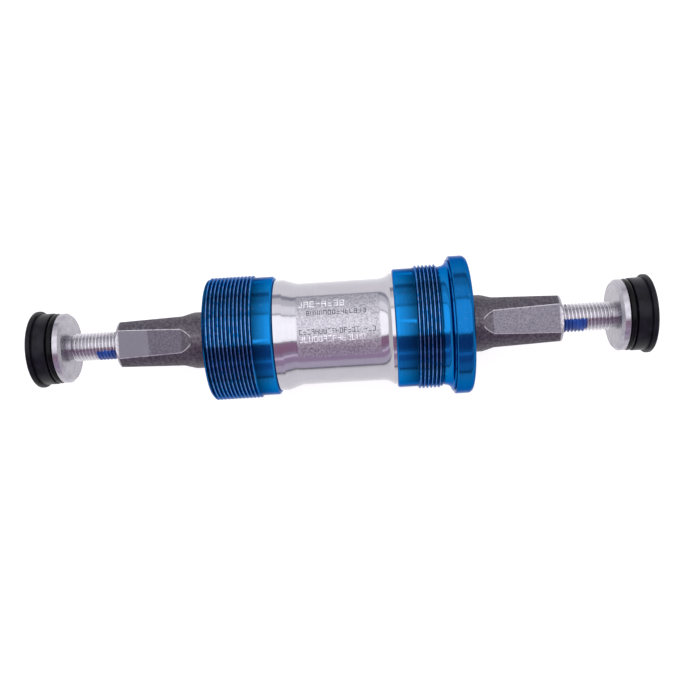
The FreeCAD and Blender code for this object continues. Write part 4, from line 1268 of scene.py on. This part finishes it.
@dataclass(frozen=True)
class Zone:
    """A strip of the light tent, between two angles from straight up towards -Y."""

    start: float
    end: float
    glow: Colour


@dataclass
class Studio:
    """A pale floor, a soft light tent over the object and the camera above it."""

    floor_height: float = -19.95
    floor_reach: float = 3000.0
    tent_radius: float = 1000.0
    tent_reach: float = 1300.0
    zones: tuple[Zone, ...] = (
        Zone(-97, -94, (0.12, 0.12, 0.16)), Zone(-94, -81, (0.45, 0.45, 0.55)), Zone(-81, -65, (1.05, 1.05, 1.10)),
        Zone(-65, -43.5, (1.55, 1.55, 1.60)), Zone(-43.5, -41, (0.10, 0.10, 0.14)),
        Zone(-41, 15.5, (2.15, 2.15, 2.20)), Zone(15.5, 18, (0.10, 0.08, 0.14)), Zone(18, 40, (0.46, 0.25, 0.41)),
        Zone(40, 47, (0.48, 0.38, 0.54)), Zone(47, 52, (1.20, 1.00, 1.30)), Zone(52, 66, (0.56, 0.41, 0.62)),
        Zone(66, 83, (0.80, 0.72, 0.90)), Zone(83, 87, (0.06, 0.05, 0.10)),
    )
    sky: float = 1.05
    camera_at: tuple[float, float, float] = (12.75, -2.376, 241.3)
    yaw: float = 0.0421
    roll: float = -0.0600
    lens: float = 45.0

    def build(self) -> None:
        """Set the floor, the light tent, the world and the camera."""
        far, level = self.floor_reach, self.floor_height
        self.sheet("floor", [(-far, -far, level), (far, -far, level), (far, far, level), (-far, far, level)],
                   GlowingFloor("pale_floor"))
        for number, zone in enumerate(self.zones):
            near, far = ((-math.sin(math.radians(a)) * self.tent_radius, math.cos(math.radians(a)) * self.tent_radius)
                         for a in (zone.start, zone.end))
            corners = [(way * self.tent_reach, *edge) for way, edge in ((-1, near), (1, near), (1, far), (-1, far))]
            strip = self.sheet(f"tent_{number}", corners, Lamp(f"tent_lamp_{number}", None, zone.glow))
            strip.visible_camera = False
        world = bpy.data.worlds.new("pale_room")
        world.use_nodes = True
        sky = world.node_tree.nodes["Background"].inputs
        sky["Color"].default_value, sky["Strength"].default_value = (*WHITE, 1.0), self.sky
        bpy.context.scene.world = world
        bpy.context.scene.view_settings.view_transform = "Standard"
        self.camera()

    def sheet(self, name: str, corners: Sequence[tuple[float, float, float]], finish: Finish) -> bpy.types.Object:
        """Make one flat staging panel.

        Args:
            name: the panel's name.
            corners: its corners in millimetres.
            finish: what it is made of.

        Returns:
            The staged object.
        """
        mesh = bpy.data.meshes.new(name)
        mesh.from_pydata([tuple(c * MM for c in corner) for corner in corners], [], [tuple(range(len(corners)))])
        mesh.materials.append(finish.material())
        panel = hung(name, mesh)
        return panel

    def camera(self) -> None:
        """Hang the camera over the object, with a little yaw and roll."""
        data = bpy.data.cameras.new("camera")
        data.lens, data.sensor_width = self.lens, 36.0
        data.clip_start, data.clip_end = 0.01, 10.0
        camera = bpy.data.objects.new("camera", data)
        turned_by = Matrix.Rotation(self.yaw, 4, "Y") @ Matrix.Rotation(self.roll, 4, "Z")
        camera.matrix_world = Matrix.Translation(Vector(self.camera_at) * MM) @ turned_by
        bpy.context.scene.collection.objects.link(camera)
        bpy.context.scene.camera = camera


def main() -> None:
    """Build every sub-assembly in order."""
    logging.basicConfig(level=logging.INFO, format="%(message)s")
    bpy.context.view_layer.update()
    Sleeve().build()
    FlangedCup(Side.RIGHT, "shell_side", end=39.0, floor=32.8, spigot=15.7, spigot_end=30.7).build()
    LooseCup(Side.LEFT, "left_cup", end=33.5, floor=27.3, spigot=15.75, spigot_end=25.6).build()
    Spindle().build()
    CrankBolt(Side.RIGHT, 79.25, 150.0, 7).build()
    CrankBolt(Side.LEFT, 74.5, 165.0, 8).build()
    InnerWorks().dress(frame["nodes"])
    Studio().build()


if __name__ == "__main__":
    main()
